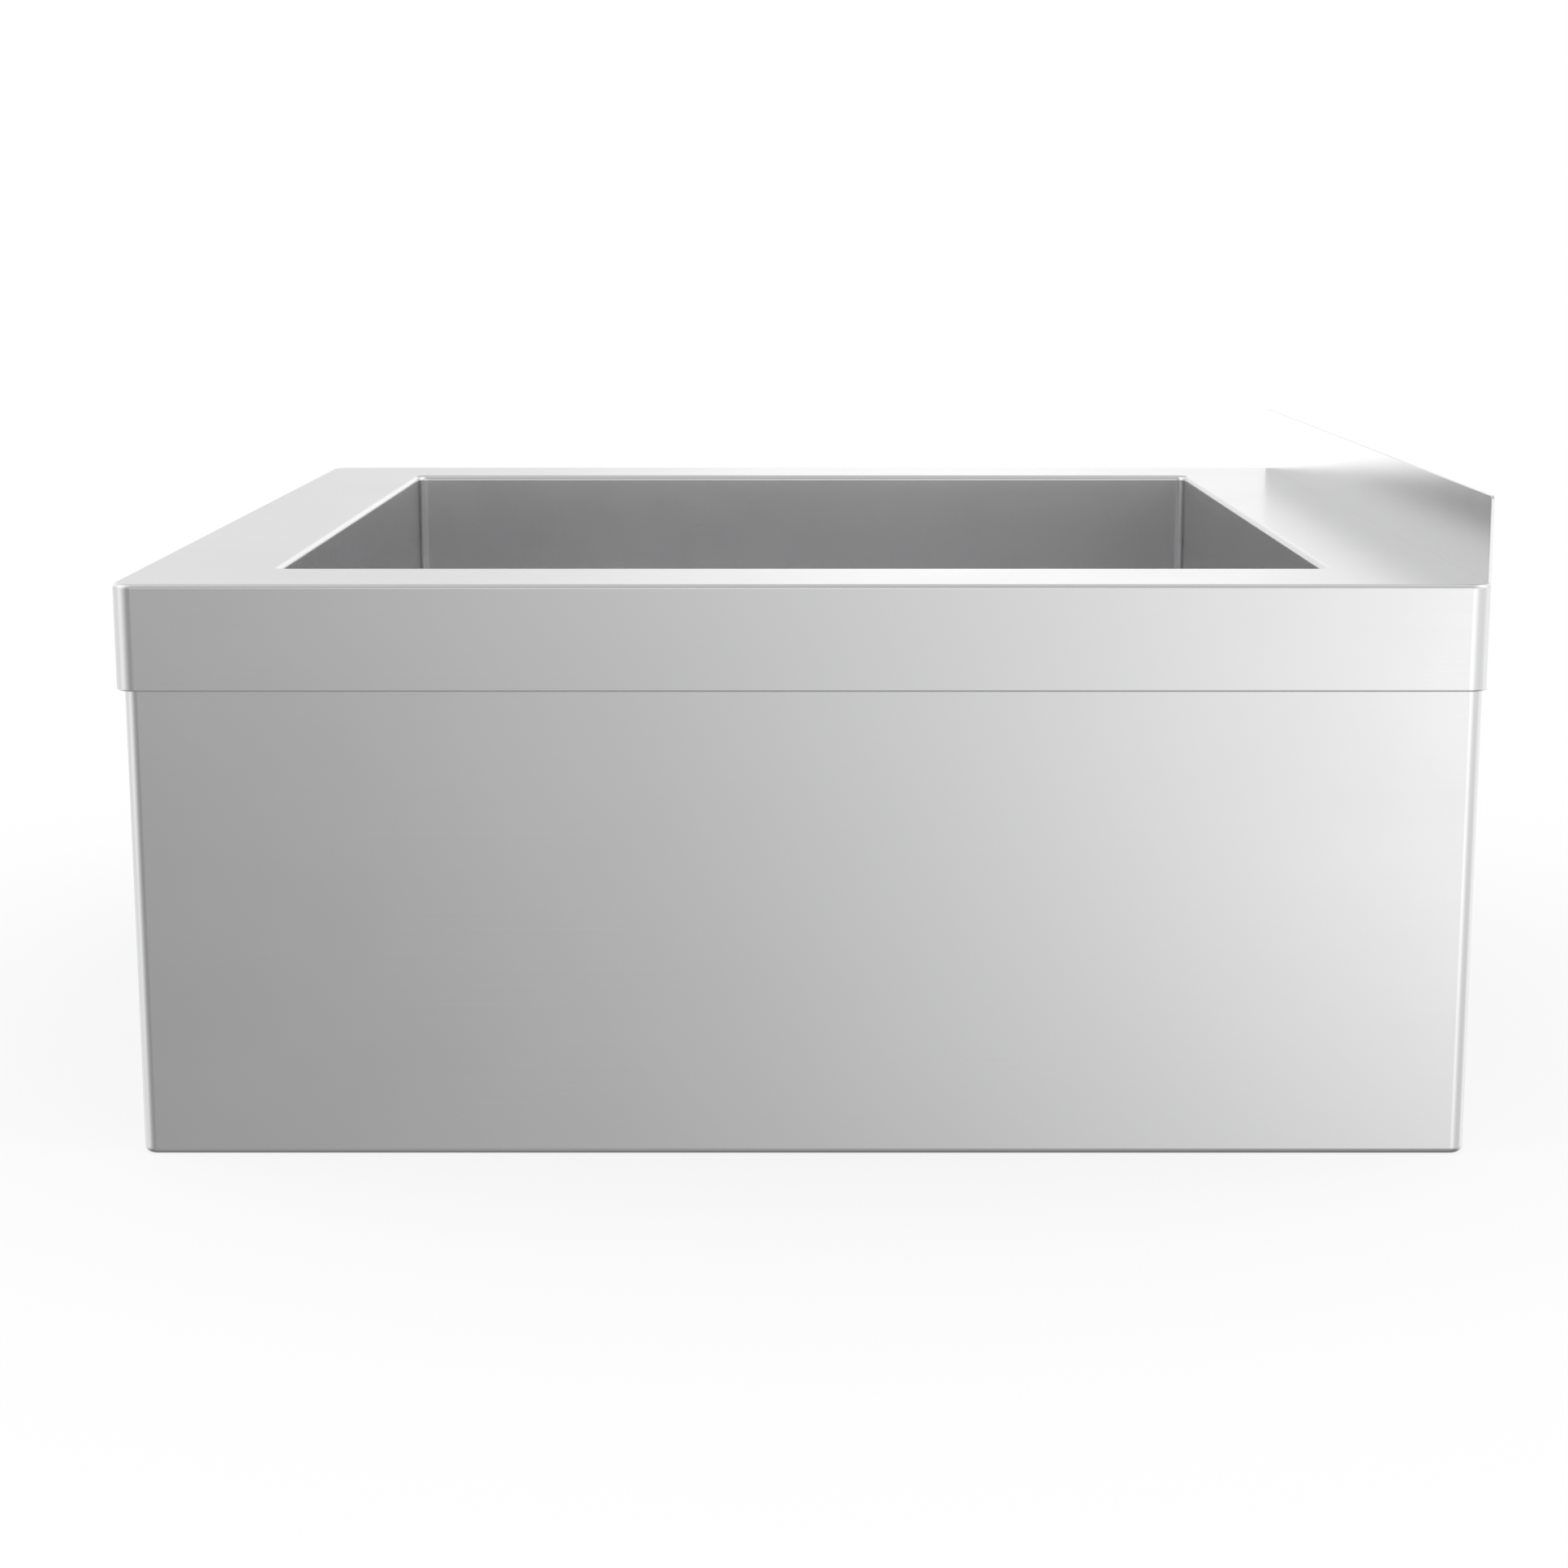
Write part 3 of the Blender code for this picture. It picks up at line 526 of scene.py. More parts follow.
def loft(rings, closed=False):
    """Faces between rings of equal length, and from the last back to the first where it closes."""
    bm = bmesh.new()
    loops = [[bm.verts.new(point) for point in ring] for ring in rings]
    for outer, inner in zip(loops, loops[1:] + loops[:1] if closed else loops[1:]):
        for corners in zip(outer, outer[1:] + outer[:1], inner[1:] + inner[:1], inner):
            bm.faces.new(corners)
    return bm


def swept(name, box, profile, radius_at, side_steps=1):
    """A sheet's closed (distance in, height) profile, carried round a plan box."""
    rings = [
        plan_ring(inset(box, distance), radius_at(distance), height, side_steps)
        for distance, height in profile
    ]
    return from_bmesh(name, loft(rings, closed=True))


def block(low, high):
    bm = bmesh.new()
    centre = Matrix.Translation((Vector(low) + Vector(high)) / 2)
    size = Matrix.Diagonal((*(Vector(high) - Vector(low)), 1))
    bmesh.ops.create_cube(bm, size=1, matrix=centre @ size)
    return bm


def bevelled(bm, edges, offset, segments=2):
    """Rounds some edges of a shape."""
    bmesh.ops.bevel(bm, geom=edges, offset=offset, segments=segments, profile=0.5, affect="EDGES")


def column(segments, radius, depth, place):
    """A straight upright prism or cylinder round a place."""
    bm = bmesh.new()
    bmesh.ops.create_cone(
        bm, cap_ends=True, segments=segments, radius1=radius, radius2=radius, depth=depth,
        matrix=Matrix.Translation(place),
    )
    return bm


def eased(profile, radius, closed=True):
    """A profile with its corners rounded."""
    count = len(profile)
    points = []
    for index, here in enumerate(profile):
        if not closed and index in (0, count - 1):
            points.append(here)
            continue
        corner = Vector(here)
        before = Vector(profile[index - 1]) - corner
        after = Vector(profile[(index + 1) % count]) - corner
        reach = min(radius, 0.45 * before.length, 0.45 * after.length)
        start = corner + before.normalized() * reach
        end = corner + after.normalized() * reach
        for step in range(EASE_STEPS + 1):
            share = step / EASE_STEPS
            points.append(tuple(start.lerp(corner, share).lerp(corner.lerp(end, share), share)))
    return points


def turned(name, profile, ease, steps=TURNED_STEPS, closed=True):
    """A turned piece from a (radius, height) profile that runs down its outer side."""
    points = eased(profile, ease, closed)
    count = len(points)
    edges = [(index, (index + 1) % count) for index in range(count if closed else count - 1)]
    mesh = bpy.data.meshes.new(name)
    mesh.from_pydata([(radius, 0, height) for radius, height in points], edges, [])
    obj = new_object(name, mesh)
    screw = obj.modifiers.new("turn", "SCREW")
    screw.steps = steps
    screw.render_steps = steps
    screw.use_merge_vertices = True
    screw.merge_threshold = MERGE
    return outward(settle(obj))


def prism(name, corners, radius, low, high, ease):
    """A prism of equal sides with its edges eased."""
    bm = column(corners, radius, high - low, (0, 0, (low + high) / 2))
    bevelled(bm, bm.edges[:], ease)
    return from_bmesh(name, bm)


# Geometry node trees for what repeats


class Pattern(Board):
    """A geometry node tree with named inputs. It ends by realizing its instances and setting the material."""

    def __init__(self, name, inputs):
        tree = bpy.data.node_groups.new(name, "GeometryNodeTree")
        super().__init__(tree)
        tree.interface.new_socket("Geometry", in_out="OUTPUT", socket_type="NodeSocketGeometry")
        self.names = {}
        for title, kind, default in (*inputs, ("Material", "Material", None)):
            made = tree.interface.new_socket(title, in_out="INPUT", socket_type=f"NodeSocket{kind}")
            if default is not None:
                made.default_value = default
            self.names[title] = made.identifier
        self.entry = tree.nodes.new("NodeGroupInput")
        self.exit = tree.nodes.new("NodeGroupOutput")

    def given(self, title):
        return Socket(self, self.entry.outputs[title])

    def close(self, geometry):
        real = self.node("GeometryNodeRealizeInstances", values={"Geometry": geometry})
        values = {"Geometry": real, "Material": self.given("Material")}
        self.feed(self.exit, {0: self.node("GeometryNodeSetMaterial", values=values)})
        return self

    def grow(self, name, mesh, material, values, place=None):
        """The plain mesh that the tree makes for these input values."""
        obj = new_object(name, mesh or bpy.data.meshes.new(name))
        modifier = obj.modifiers.new(self.tree.name, "NODES")
        modifier.node_group = self.tree
        modifier[self.names["Material"]] = material()
        for title, value in values.items():
            modifier[self.names[title]] = value
        return settle(obj, place)


def round_pattern():
    """Repeats one shape round the upright axis."""
    inputs = (("Shape", "Geometry", None), ("Count", "Int", 6), ("Turn", "Float", 0.0))
    pattern = Pattern("Round the axis", inputs)
    count = pattern.given("Count")
    points = pattern.node("GeometryNodePoints", values={"Count": count})
    index = pattern.node("GeometryNodeInputIndex")
    turn = pattern.given("Turn") + index * math.tau / count
    euler = pattern.node("ShaderNodeCombineXYZ", values={2: turn})
    rotation = pattern.node("FunctionNodeEulerToRotation", values={0: euler})
    values = {"Points": points, "Instance": pattern.given("Shape"), "Rotation": rotation}
    return pattern.close(pattern.node("GeometryNodeInstanceOnPoints", values=values))


def thread_pattern():
    """A thread: a ridge of four sides that climbs round the upright axis."""
    inputs = (
        ("Radius", "Float", 0.01), ("Pitch", "Float", 0.002), ("Length", "Float", 0.02),
        ("Depth", "Float", 0.0006), ("Start", "Float", 0.0), ("Steps", "Int", 40),
    )
    pattern = Pattern("Thread", inputs)
    length = pattern.given("Length")
    radius = pattern.given("Radius") - pattern.given("Depth")
    values = {
        "Resolution": pattern.given("Steps"), "Rotations": length / pattern.given("Pitch"),
        "Start Radius": radius, "End Radius": radius, "Height": length,
    }
    spiral = pattern.node("GeometryNodeCurveSpiral", values=values)
    upright = pattern.node("GeometryNodeSetCurveNormal", {"mode": "Z_UP"}, {"Curve": spiral})
    ridge = pattern.node(
        "GeometryNodeCurvePrimitiveCircle", values={"Resolution": 4, "Radius": pattern.given("Depth")}
    )
    values = {"Curve": upright, "Profile Curve": ridge, "Fill Caps": True}
    thread = pattern.node("GeometryNodeCurveToMesh", values=values)
    start = pattern.node("ShaderNodeCombineXYZ", values={2: pattern.given("Start")})
    values = {"Geometry": thread, "Translation": start}
    return pattern.close(pattern.node("GeometryNodeTransform", values=values))


def weld_pattern():
    """Spot welds: shallow round dimples in a straight row."""
    inputs = (
        ("First", "Vector", None), ("Step", "Vector", None), ("Count", "Int", 9),
        ("Radius", "Float", 0.0025), ("Height", "Float", 0.0003),
    )
    pattern = Pattern("Spot welds", inputs)
    radius = pattern.given("Radius")
    count, first, step = (pattern.given(title) for title in ("Count", "First", "Step"))
    values = {"Count": count, "Start Location": first, "Offset": step}
    row = pattern.node("GeometryNodeMeshLine", {"mode": "OFFSET"}, values)
    values = {
        "Vertices": 16, "Radius Top": radius, "Radius Bottom": radius * 0.7, "Depth": pattern.given("Height"),
    }
    weld = pattern.node("GeometryNodeMeshCone", values=values)
    values = {"Points": row, "Instance": weld}
    return pattern.close(pattern.node("GeometryNodeInstanceOnPoints", values=values))


def pattern_of(make):
    """The tree that a function makes, made once."""
    if make not in patterns:
        patterns[make] = make()
    return patterns[make]


patterns = {}


def repeated(name, obj, material, count, turn=0.0):
    """An object's shape, repeated round the upright axis. The object itself goes."""
    mesh = obj.data
    bpy.data.objects.remove(obj)
    return pattern_of(round_pattern).grow(name, mesh, material, {"Count": count, "Turn": turn})


def thread(name, material, body, place=None, **sizes):
    """A thread as a piece of its own. Its sizes are the inputs of the thread's tree."""
    values = {title.capitalize(): size for title, size in sizes.items()}
    seat(pattern_of(thread_pattern).grow(name, None, material, values, place), material, body)


# Sheets


def sheet_profile(face, back, end=()):
    """A closed profile from the points of a sheet's face, its back and the rounding of its free edge."""
    return [*face, *back[::-1], *end]


def make_top(sheet):
    """Apron, fold, flat rim and the lip that turns down into the bowl. It meets the splash with no gap."""
    thick, fold, lip = sheet.thickness, sheet.fold, sheet.lip
    half = thick / 2
    low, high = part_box("deck_top")
    bowl_low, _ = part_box("basin")
    rim = bowl_low.x + thick - cad_low.x
    edge = low.z
    top = high.z
    end = top - sheet.lip_drop

    def side(depth):
        """The sheet's section at a depth under its face."""
        outer = arc((fold, top - fold), fold - depth, math.pi, -0.5 * math.pi)
        inner = arc((rim - lip, top - lip), lip - depth, 0.5 * math.pi, -0.5 * math.pi)
        return [*outer, *inner, (rim - depth, end)]

    def radii(distance):
        if distance < rim / 2:
            return [sheet.corner - distance] * 2 + [fold + TOUCH - distance] + [sheet.corner - distance]
        return [sheet.bowl_corner + rim - distance] * 4

    box = (cad_low.x, cad_high.x, cad_low.y, cad_high.y)
    edge_round = arc((half, edge + half), half, 0.0, -math.pi)
    obj = swept("top", box, sheet_profile(side(0.0), side(thick), edge_round), radii)
    splash_low, splash_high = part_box("side_splash")
    seat_low = (splash_low.x + TOUCH, splash_low.y, edge - CUT_OVERRUN)
    seat_high = (splash_high.x + CUT_OVERRUN, splash_high.y + CUT_OVERRUN, top + CUT_OVERRUN)
    cut(obj, from_bmesh("splash_seat", block(seat_low, seat_high)))
    seat(obj, satin_steel, "sink", "deck_top")


def make_splash(sheet):
    """A flat sheet with eased cut edges and small rounded upper corners."""
    low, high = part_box("side_splash")
    bm = block(low, high)
    upper = [
        edge for edge in bm.edges
        if all(vert.co.z > high.z - TOUCH for vert in edge.verts)
        and abs(edge.verts[0].co.y - edge.verts[1].co.y) < TOUCH
    ]
    bevelled(bm, upper, sheet.thickness, segments=6)
    bevelled(bm, bm.edges[:], sheet.edge, segments=3)
    seat(from_bmesh("splash", bm), satin_steel, "sink", "side_splash")


# The rounded step down into the recess: distances outside its radius, and heights over its floor
RECESS_EDGE = ((0.0012, 0.0015), (0.0004, 0.0012), (0, 0.0008), (-0.0006, 0.0002), (-0.0016, 0))


def make_bowl(sheet):
    """Walls, cove, a floor of four planes that fall to the middle, and the recess round the waste."""
    low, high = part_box("basin")
    _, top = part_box("deck_top")
    box = inset(plan_of(low, high), sheet.thickness)
    recess_height = low.z + sheet.thickness
    floor_edge = recess_height + sheet.floor_fall + sheet.recess_step
    across = box[1] - sheet.cove
    deep = box[3] - sheet.cove

    def floor_height(point):
        out = max(abs(point.x) / across, abs(point.y) / deep)
        return floor_edge - sheet.floor_fall * (1 - out)

    def round_ring(radius, height=0.0):
        """As many points as a plan ring has, with the middle of its first corner in the same direction."""
        count = 4 * (ARC_STEPS + SIDE_STEPS)
        start = math.pi * (5 / 4 - ARC_STEPS / count)
        turns = [start + math.tau * index / count for index in range(count)]
        return [Vector((radius * math.cos(turn), radius * math.sin(turn), height)) for turn in turns]

    def on_floor(ring):
        for point in ring:
            point.z = floor_height(point)
        return ring

    radii = [sheet.bowl_corner] * 4
    wall_top = top.z - sheet.lip_drop
    rings = [plan_ring(box, radii, wall_top, SIDE_STEPS)]
    for distance, height in arc((sheet.cove, floor_edge + sheet.cove), sheet.cove, math.pi):
        rings.append(plan_ring(inset(box, distance), radii, height, SIDE_STEPS))
    edge = rings[-1]
    middle = on_floor(round_ring(sheet.recess + RECESS_EDGE[0][0]))
    for step in range(1, FLOOR_RINGS + 1):
        share = step / FLOOR_RINGS
        rings.append(on_floor([start.lerp(end, share) for start, end in zip(edge, middle)]))
    for out, rise in RECESS_EDGE[1:]:
        rings.append(round_ring(sheet.recess + out, recess_height + rise))
    rings.append(round_ring(sheet.waste_hole, recess_height))
    obj = from_bmesh("bowl", loft(rings))
    wall = obj.modifiers.new("thickness", "SOLIDIFY")
    wall.thickness = sheet.thickness
    wall.offset = -1
    wall.use_even_offset = True
    seat(settle(obj), satin_steel, "sink", "basin")


def make_casing(sheet):
    """The skirt, with its foot folded in to a flange."""
    thick, fold = sheet.thickness, sheet.casing_fold
    low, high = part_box("outer_casing")

    def side(depth):
        foot = arc((fold, low.z + fold), fold - depth, math.pi)
        return [(depth, high.z), *foot, (sheet.casing_flange, low.z + depth)]

    def radii(distance):
        return [max(sheet.casing_corner - distance, thick / 3)] * 4

    obj = swept("casing", plan_of(low, high), sheet_profile(side(0.0), side(thick)), radii)
    seat(obj, satin_steel, "sink", "outer_casing")


# Rows of spot welds: in from the flange's edge, and under its upper face
WELD_INSET = 0.004
WELD_DROP = 0.0016


def make_stiffeners(waste):
    """The hat channels under the rims, and the spot welds that hold their flanges."""
    for side in SIDES:
        name = f"deck_stiffener_{side}"
        dress(name, satin_steel, edge=0.0003)
        low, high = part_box(name)
        size = high - low
        run, out = Vector((1, 0, 0)), Vector((0, 1, 0))
        if size.y > size.x:
            run, out = out, run
        step = run * max(size.x, size.y) / waste.welds
        for index, sense in enumerate((-1, 1)):
            aside = out * sense * (min(size.x, size.y) / 2 - WELD_INSET)
            first = (low + high) / 2 + aside - step * (waste.welds - 1) / 2
            first.z = high.z - WELD_DROP
            values = {"First": first, "Step": step, "Count": waste.welds}
            row = pattern_of(weld_pattern).grow(f"spot_welds_{side}_{index + 1}", None, satin_steel, values)
            seat(row, satin_steel, "sink")


def make_pads():
    """The damping pads under the floor of the bowl."""
    for side in SIDES:
        dress(f"sound_pad_{side}", damping, edge=0.0004)


# Waste

# Threaded shanks of the cup: radii over the thread, its depth, the bore of what fits round it, and cores
CUP_RADIUS = 0.044
SPIGOT_RADIUS = 0.0215
CUP_THREAD = 0.0007
CUP_BORE = 0.0443
CUP_CORE = CUP_RADIUS - CUP_THREAD
SPIGOT_CORE = SPIGOT_RADIUS - CUP_THREAD
# Sections of turned pieces: radius, and height over the top of the piece
CUP = (
    (0.048, 0), (0.055, 0), (0.057, -0.001), (0.057, -0.002), (CUP_CORE, -0.002), (CUP_CORE, -0.028),
    (0.0385, -0.048), (0.0365, -0.050), (SPIGOT_CORE, -0.050), (SPIGOT_CORE, -0.066), (0.0175, -0.066),
    (0.0175, -0.048), (0.0345, -0.048), (0.0365, -0.046), (0.039, -0.028), (0.039, -0.010), (0.042, -0.010),
    (0.042, -0.005),
)
BASKET = (
    (0.0412, 0), (0.0412, -0.002), (0.0372, -0.002), (0.0325, -0.024), (0.0305, -0.026), (0.0043, -0.026),
    (0.0043, -0.025), (0.0305, -0.025), (0.0315, -0.024), (0.0362, -0.001), (0.0402, -0.001), (0.0402, 0),
)
KNOB = (
    (0, -0.0006), (0.004, -0.0006), (0.0052, 0), (0.007, 0), (0.010, -0.0015), (0.010, -0.003),
    (0.006, -0.008), (0.004, -0.008),
)
# Lugs of the nuts: back from the nut's faces, and their edges
LUG_BACK = 0.0015
LUG_EDGE = 0.0008
# Openings of the basket, with heights from its top
SLOT_LOW = (0.028, -0.002, -0.019)
SLOT_HIGH = (0.043, 0.002, -0.009)
SLOT_ROUND = 0.0019
HOLE_RADIUS = 0.002
HOLE_DEPTH = 0.006
HOLE_HEIGHT = -0.0255
OUTER_ROW = 0.0234
INNER_ROW = 0.01398


def raised(section, top):
    """A section at the height of its piece."""
    return [(radius, top + height) for radius, height in section]


def ring_section(radius, bore, low, high):
    return [(radius, high), (radius, low), (bore, low), (bore, high)]


def make_waste(waste):
    """Cup, gasket, washers, nuts and tube of the outlet."""
    _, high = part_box("strainer_body")
    seat(turned("cup", raised(CUP, high.z), ease=0.0006), bright_steel, "sink", "strainer_body")
    thread(
        "cup_thread", bright_steel, "sink", radius=CUP_RADIUS, pitch=waste.cup_pitch, depth=CUP_THREAD,
        start=high.z - 0.028, length=0.023, steps=64,
    )
    thread(
        "spigot_thread", bright_steel, "sink", radius=SPIGOT_RADIUS, pitch=waste.cup_pitch, depth=CUP_THREAD,
        start=high.z - 0.0655, length=0.014, steps=48,
    )
    flat_ring("gasket", "strainer_gasket", rubber, bore=CUP_BORE, ease=0.0005)
    flat_ring("fibre_washer", "friction_washer", fibre, bore=CUP_BORE, ease=0.0002)
    flat_ring("tube_washer", "tailpiece_washer", rubber, bore=0.0175, ease=0.0003)
    low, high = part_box("lock_nut")
    section = ring_section(0.0505, CUP_BORE, low.z, high.z)
    lugged("mounting_nut", "lock_nut", section, start=0.0474, reach=0.0565, width=0.010, count=6)
    low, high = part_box("coupling_nut")
    ledge = low.z + 0.002
    section = [
        (0.026, high.z), (0.026, low.z), (0.0193, low.z), (0.0193, ledge), (0.0218, ledge), (0.0218, high.z),
    ]
    lugged("slip_nut", "coupling_nut", section, start=0.0239, reach=0.031, width=0.007, count=4)
    low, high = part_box("tailpiece")
    flange = high.z - 0.0015
    section = [
        (0.0215, high.z), (0.0215, flange), (0.019, flange), (0.019, low.z), (0.0178, low.z), (0.0178, high.z),
    ]
    seat(turned("tube", section, ease=0.0003), bright_steel, "sink", "tailpiece")


def flat_ring(name, node, material, bore, ease):
    """A plain ring round the waste, as wide and thick as its node."""
    low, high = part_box(node)
    seat(turned(name, ring_section(high.x, bore, low.z, high.z), ease), material, "sink", node)


def lugged(name, node, section, start, reach, width, count):
    """A cast nut with square lugs round it."""
    low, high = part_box(node)
    bm = block((start, -width / 2, low.z + LUG_BACK), (reach, width / 2, high.z - LUG_BACK))
    bevelled(bm, bm.edges[:], LUG_EDGE)
    lugs = repeated(f"{name}_lugs", from_bmesh(f"{name}_lug", bm), zinc_casting, count)
    seat(cut(turned(name, section, ease=0.0007), lugs, "UNION"), zinc_casting, "sink", node)


def make_basket(waste):
    """The lift-out basket, with slots round its wall and two rows of holes in its bottom."""
    _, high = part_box("strainer_basket")
    basket = turned("basket", raised(BASKET, high.z), ease=0.0006, steps=BASKET_STEPS)
    bm = block(*(Vector(corner) + Vector((0, 0, high.z)) for corner in (SLOT_LOW, SLOT_HIGH)))
    across = [edge for edge in bm.edges if abs(edge.verts[0].co.x - edge.verts[1].co.x) > TOUCH]
    bevelled(bm, across, SLOT_ROUND, segments=4)
    cut(basket, repeated("slots", from_bmesh("slot", bm), bright_steel, waste.slots, math.pi / waste.slots))
    rows = (("outer", OUTER_ROW, waste.outer_holes), ("inner", INNER_ROW, waste.inner_holes))
    for row, radius, count in rows:
        bm = column(HOLE_STEPS, HOLE_RADIUS, HOLE_DEPTH, (radius, 0, high.z + HOLE_HEIGHT))
        cut(basket, repeated(f"{row}_holes", from_bmesh("hole", bm), bright_steel, count))
    seat(basket, bright_steel, "basket", "strainer_basket")


def make_stopper():
    """Knob and post, the rubber that closes the throat and the nut that holds it."""
    low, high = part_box("stopper_post")
    plug_low, plug_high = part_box("stopper_washer")
    shoulder = plug_high.z + 0.00015
    section = [
        *raised(KNOB, high.z), (0.004, shoulder), (0.0025, shoulder), (0.0025, low.z), (0, low.z),
    ]
    post = turned("knob_and_post", section, ease=0.0008, steps=SMALL_STEPS, closed=False)
    seat(post, bright_steel, "stopper", "stopper_post")
    section = [
        (0.025, plug_high.z), (0.025, plug_low.z + 0.003), (0.022, plug_low.z), (0.0028, plug_low.z),
        (0.0028, plug_high.z),
    ]
    seat(turned("plug", section, ease=0.0006), rubber, "stopper", "stopper_washer")
    dress("post_nut", bright_steel, edge=0.0003)


# Feet

# Section of a pad over the floor
PAD = (
    (0, 0.004), (0.0053, 0.004), (0.0053, 0.009), (0.009, 0.009), (0.009, 0.0062), (0.020, 0.003), (0.020, 0),
    (0.016, 0), (0.0155, 0.0006), (0, 0.0006),
)
# Stud: radius over the thread, the thread's depth, the core, its beveled top, and the thread's two ends
STUD_RADIUS = 0.005
STUD_THREAD = 0.0006
STUD_CORE = STUD_RADIUS - STUD_THREAD
STUD_BEVEL = 0.0008
THREAD_START = 0.0155
THREAD_SHORT = 0.0018
# Hexagon of a stud: radius over its corners, and where it lies
HEX_RADIUS = 0.008
HEX_LOW = 0.0093
HEX_HIGH = 0.0143


def make_feet(waste):
    """Gusset, weld nut, threaded stud and pad in each lower corner."""
    for corner in CORNERS:
        dress(f"corner_gusset_{corner}", satin_steel, edge=0.0004)
        dress(f"weld_nut_{corner}", satin_steel, edge=0.0006)
        low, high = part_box(f"foot_pad_{corner}")
        place = Matrix.Translation(((low.x + high.x) / 2, (low.y + high.y) / 2, 0))
        pad = turned(f"foot_{corner}", PAD, ease=0.0006, closed=False)
        pad.data.transform(place)
        seat(pad, nylon, f"foot_{corner}", f"foot_pad_{corner}")
        low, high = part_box(f"foot_stud_{corner}")
        section = [
            (0, high.z), (STUD_CORE - STUD_BEVEL, high.z), (STUD_CORE, high.z - STUD_BEVEL),
            (STUD_CORE, HEX_HIGH), (STUD_RADIUS, HEX_HIGH), (STUD_RADIUS, low.z), (0, low.z),
        ]
        stud = turned(f"stud_{corner}", section, ease=0.0003, steps=SMALL_STEPS, closed=False)
        cut(stud, prism(f"hex_{corner}", HEX_SIDES, HEX_RADIUS, HEX_LOW, HEX_HIGH, ease=0.0004), "UNION")
        stud.data.transform(place)
        seat(stud, zinc_steel, f"stud_{corner}", f"foot_stud_{corner}")
        thread(
            f"stud_thread_{corner}", zinc_steel, f"stud_{corner}", place, radius=STUD_RADIUS,
            pitch=waste.stud_pitch, depth=STUD_THREAD, start=THREAD_START,
            length=high.z - THREAD_SHORT - THREAD_START, steps=32,
        )


# Stage

# Each soft light of the room: degrees from the front towards the right, degrees up, tightness and strength
ROOM_LIGHTS = (
    (0, 45, 6, 0.17), (0, 12, 18, 0.80), (0, -45, 6, 0.26), (4, -10, 60, 0.08),
    (12, -12, 40, 0.38), (17, -9, 200, 0.60), (20, -12, 40, 0.12), (28, -12, 40, 0.76),
    (30, 12, 18, 0.70), (40, -12, 18, 0.40), (60, 12, 18, 0.45), (60, -12, 18, 0.36),
    (85, -10, 18, 0.45), (90, 45, 6, 1.55), (100, 12, 18, 0.36), (110, -10, 18, 0.50),
    (120, -25, 18, 0.74), (135, 12, 18, 0.50), (145, -10, 40, 0.89), (150, 20, 18, 0.40),
    (180, 45, 6, 0.26), (178, 7, 200, 0.32), (-174, -8, 120, 1.00), (-165, -25, 18, 0.47),
    (-160, -14, 30, 0.80), (-150, 20, 18, 0.72), (-150, -10, 18, 0.40), (-135, 12, 18, 0.40),
    (-135, -10, 40, 0.05), (-125, -10, 18, 0.28), (-112, -25, 18, 0.85), (-100, 12, 18, 0.40),
    (-90, 45, 6, 1.40), (-82, -10, 40, 0.22), (-75, -12, 18, 0.67), (-60, 12, 18, 0.70),
    (-50, -12, 18, 0.14),
)
ROOM_GREY = 0.21
# The white background behind the sink, which the metal shows: direction and tightness
BACKGROUND = (172, 7, 20)
# The floor takes shadow round the sink alone: how far out, and how much of it
SHADOW_REACH = 0.55
SHADOW_SHARE = 0.25


def rays(board):
    """Whether a ray comes from the camera, off metal or through glass, each as 1 or 0."""
    kinds = ("Camera", "Glossy", "Transmission")
    return [board.node("ShaderNodeLightPath", output=f"Is {kind} Ray") for kind in kinds]


def make_stage(stage):
    """Pale floor, white surroundings with soft lights in them, and the camera."""
    bm = bmesh.new()
    bmesh.ops.create_grid(bm, x_segments=2, y_segments=2, size=stage.floor / 2)
    floor = from_bmesh("floor", bm)
    floor.visible_glossy = False
    material = bpy.data.materials.new("pale floor")
    material.use_nodes = True
    board = Board(material.node_tree)
    board.tree.nodes.clear()
    here = board.node("ShaderNodeTexCoord", output="Object")
    away = board.node("ShaderNodeVectorMath", {"operation": "LENGTH"}, {0: here}, output="Value")
    near = math.e ** (0 - (away / SHADOW_REACH) ** 4)
    camera_ray, glossy_ray, through_ray = rays(board)
    seen = camera_ray + glossy_ray + through_ray
    plain = board.node("ShaderNodeBsdfDiffuse", values={"Color": (*stage.pale, 1)})
    white = board.node("ShaderNodeEmission")
    values = {0: seen * (1 - SHADOW_SHARE * near), 1: plain, 2: white}
    mixed = board.node("ShaderNodeMixShader", values=values)
    board.node("ShaderNodeOutputMaterial", values={"Surface": mixed})
    floor.data.materials.append(material)
    make_room()
    data = bpy.data.cameras.new("camera")
    data.sensor_width = 36.0
    data.lens = stage.lens
    data.shift_x = stage.shift
    camera = new_object("camera", data)
    camera.location = (0, -stage.distance, stage.height)
    camera.rotation_euler = (stage.tilt, 0, 0)
    bpy.context.scene.camera = camera
    bpy.context.scene.view_settings.view_transform = "Standard"


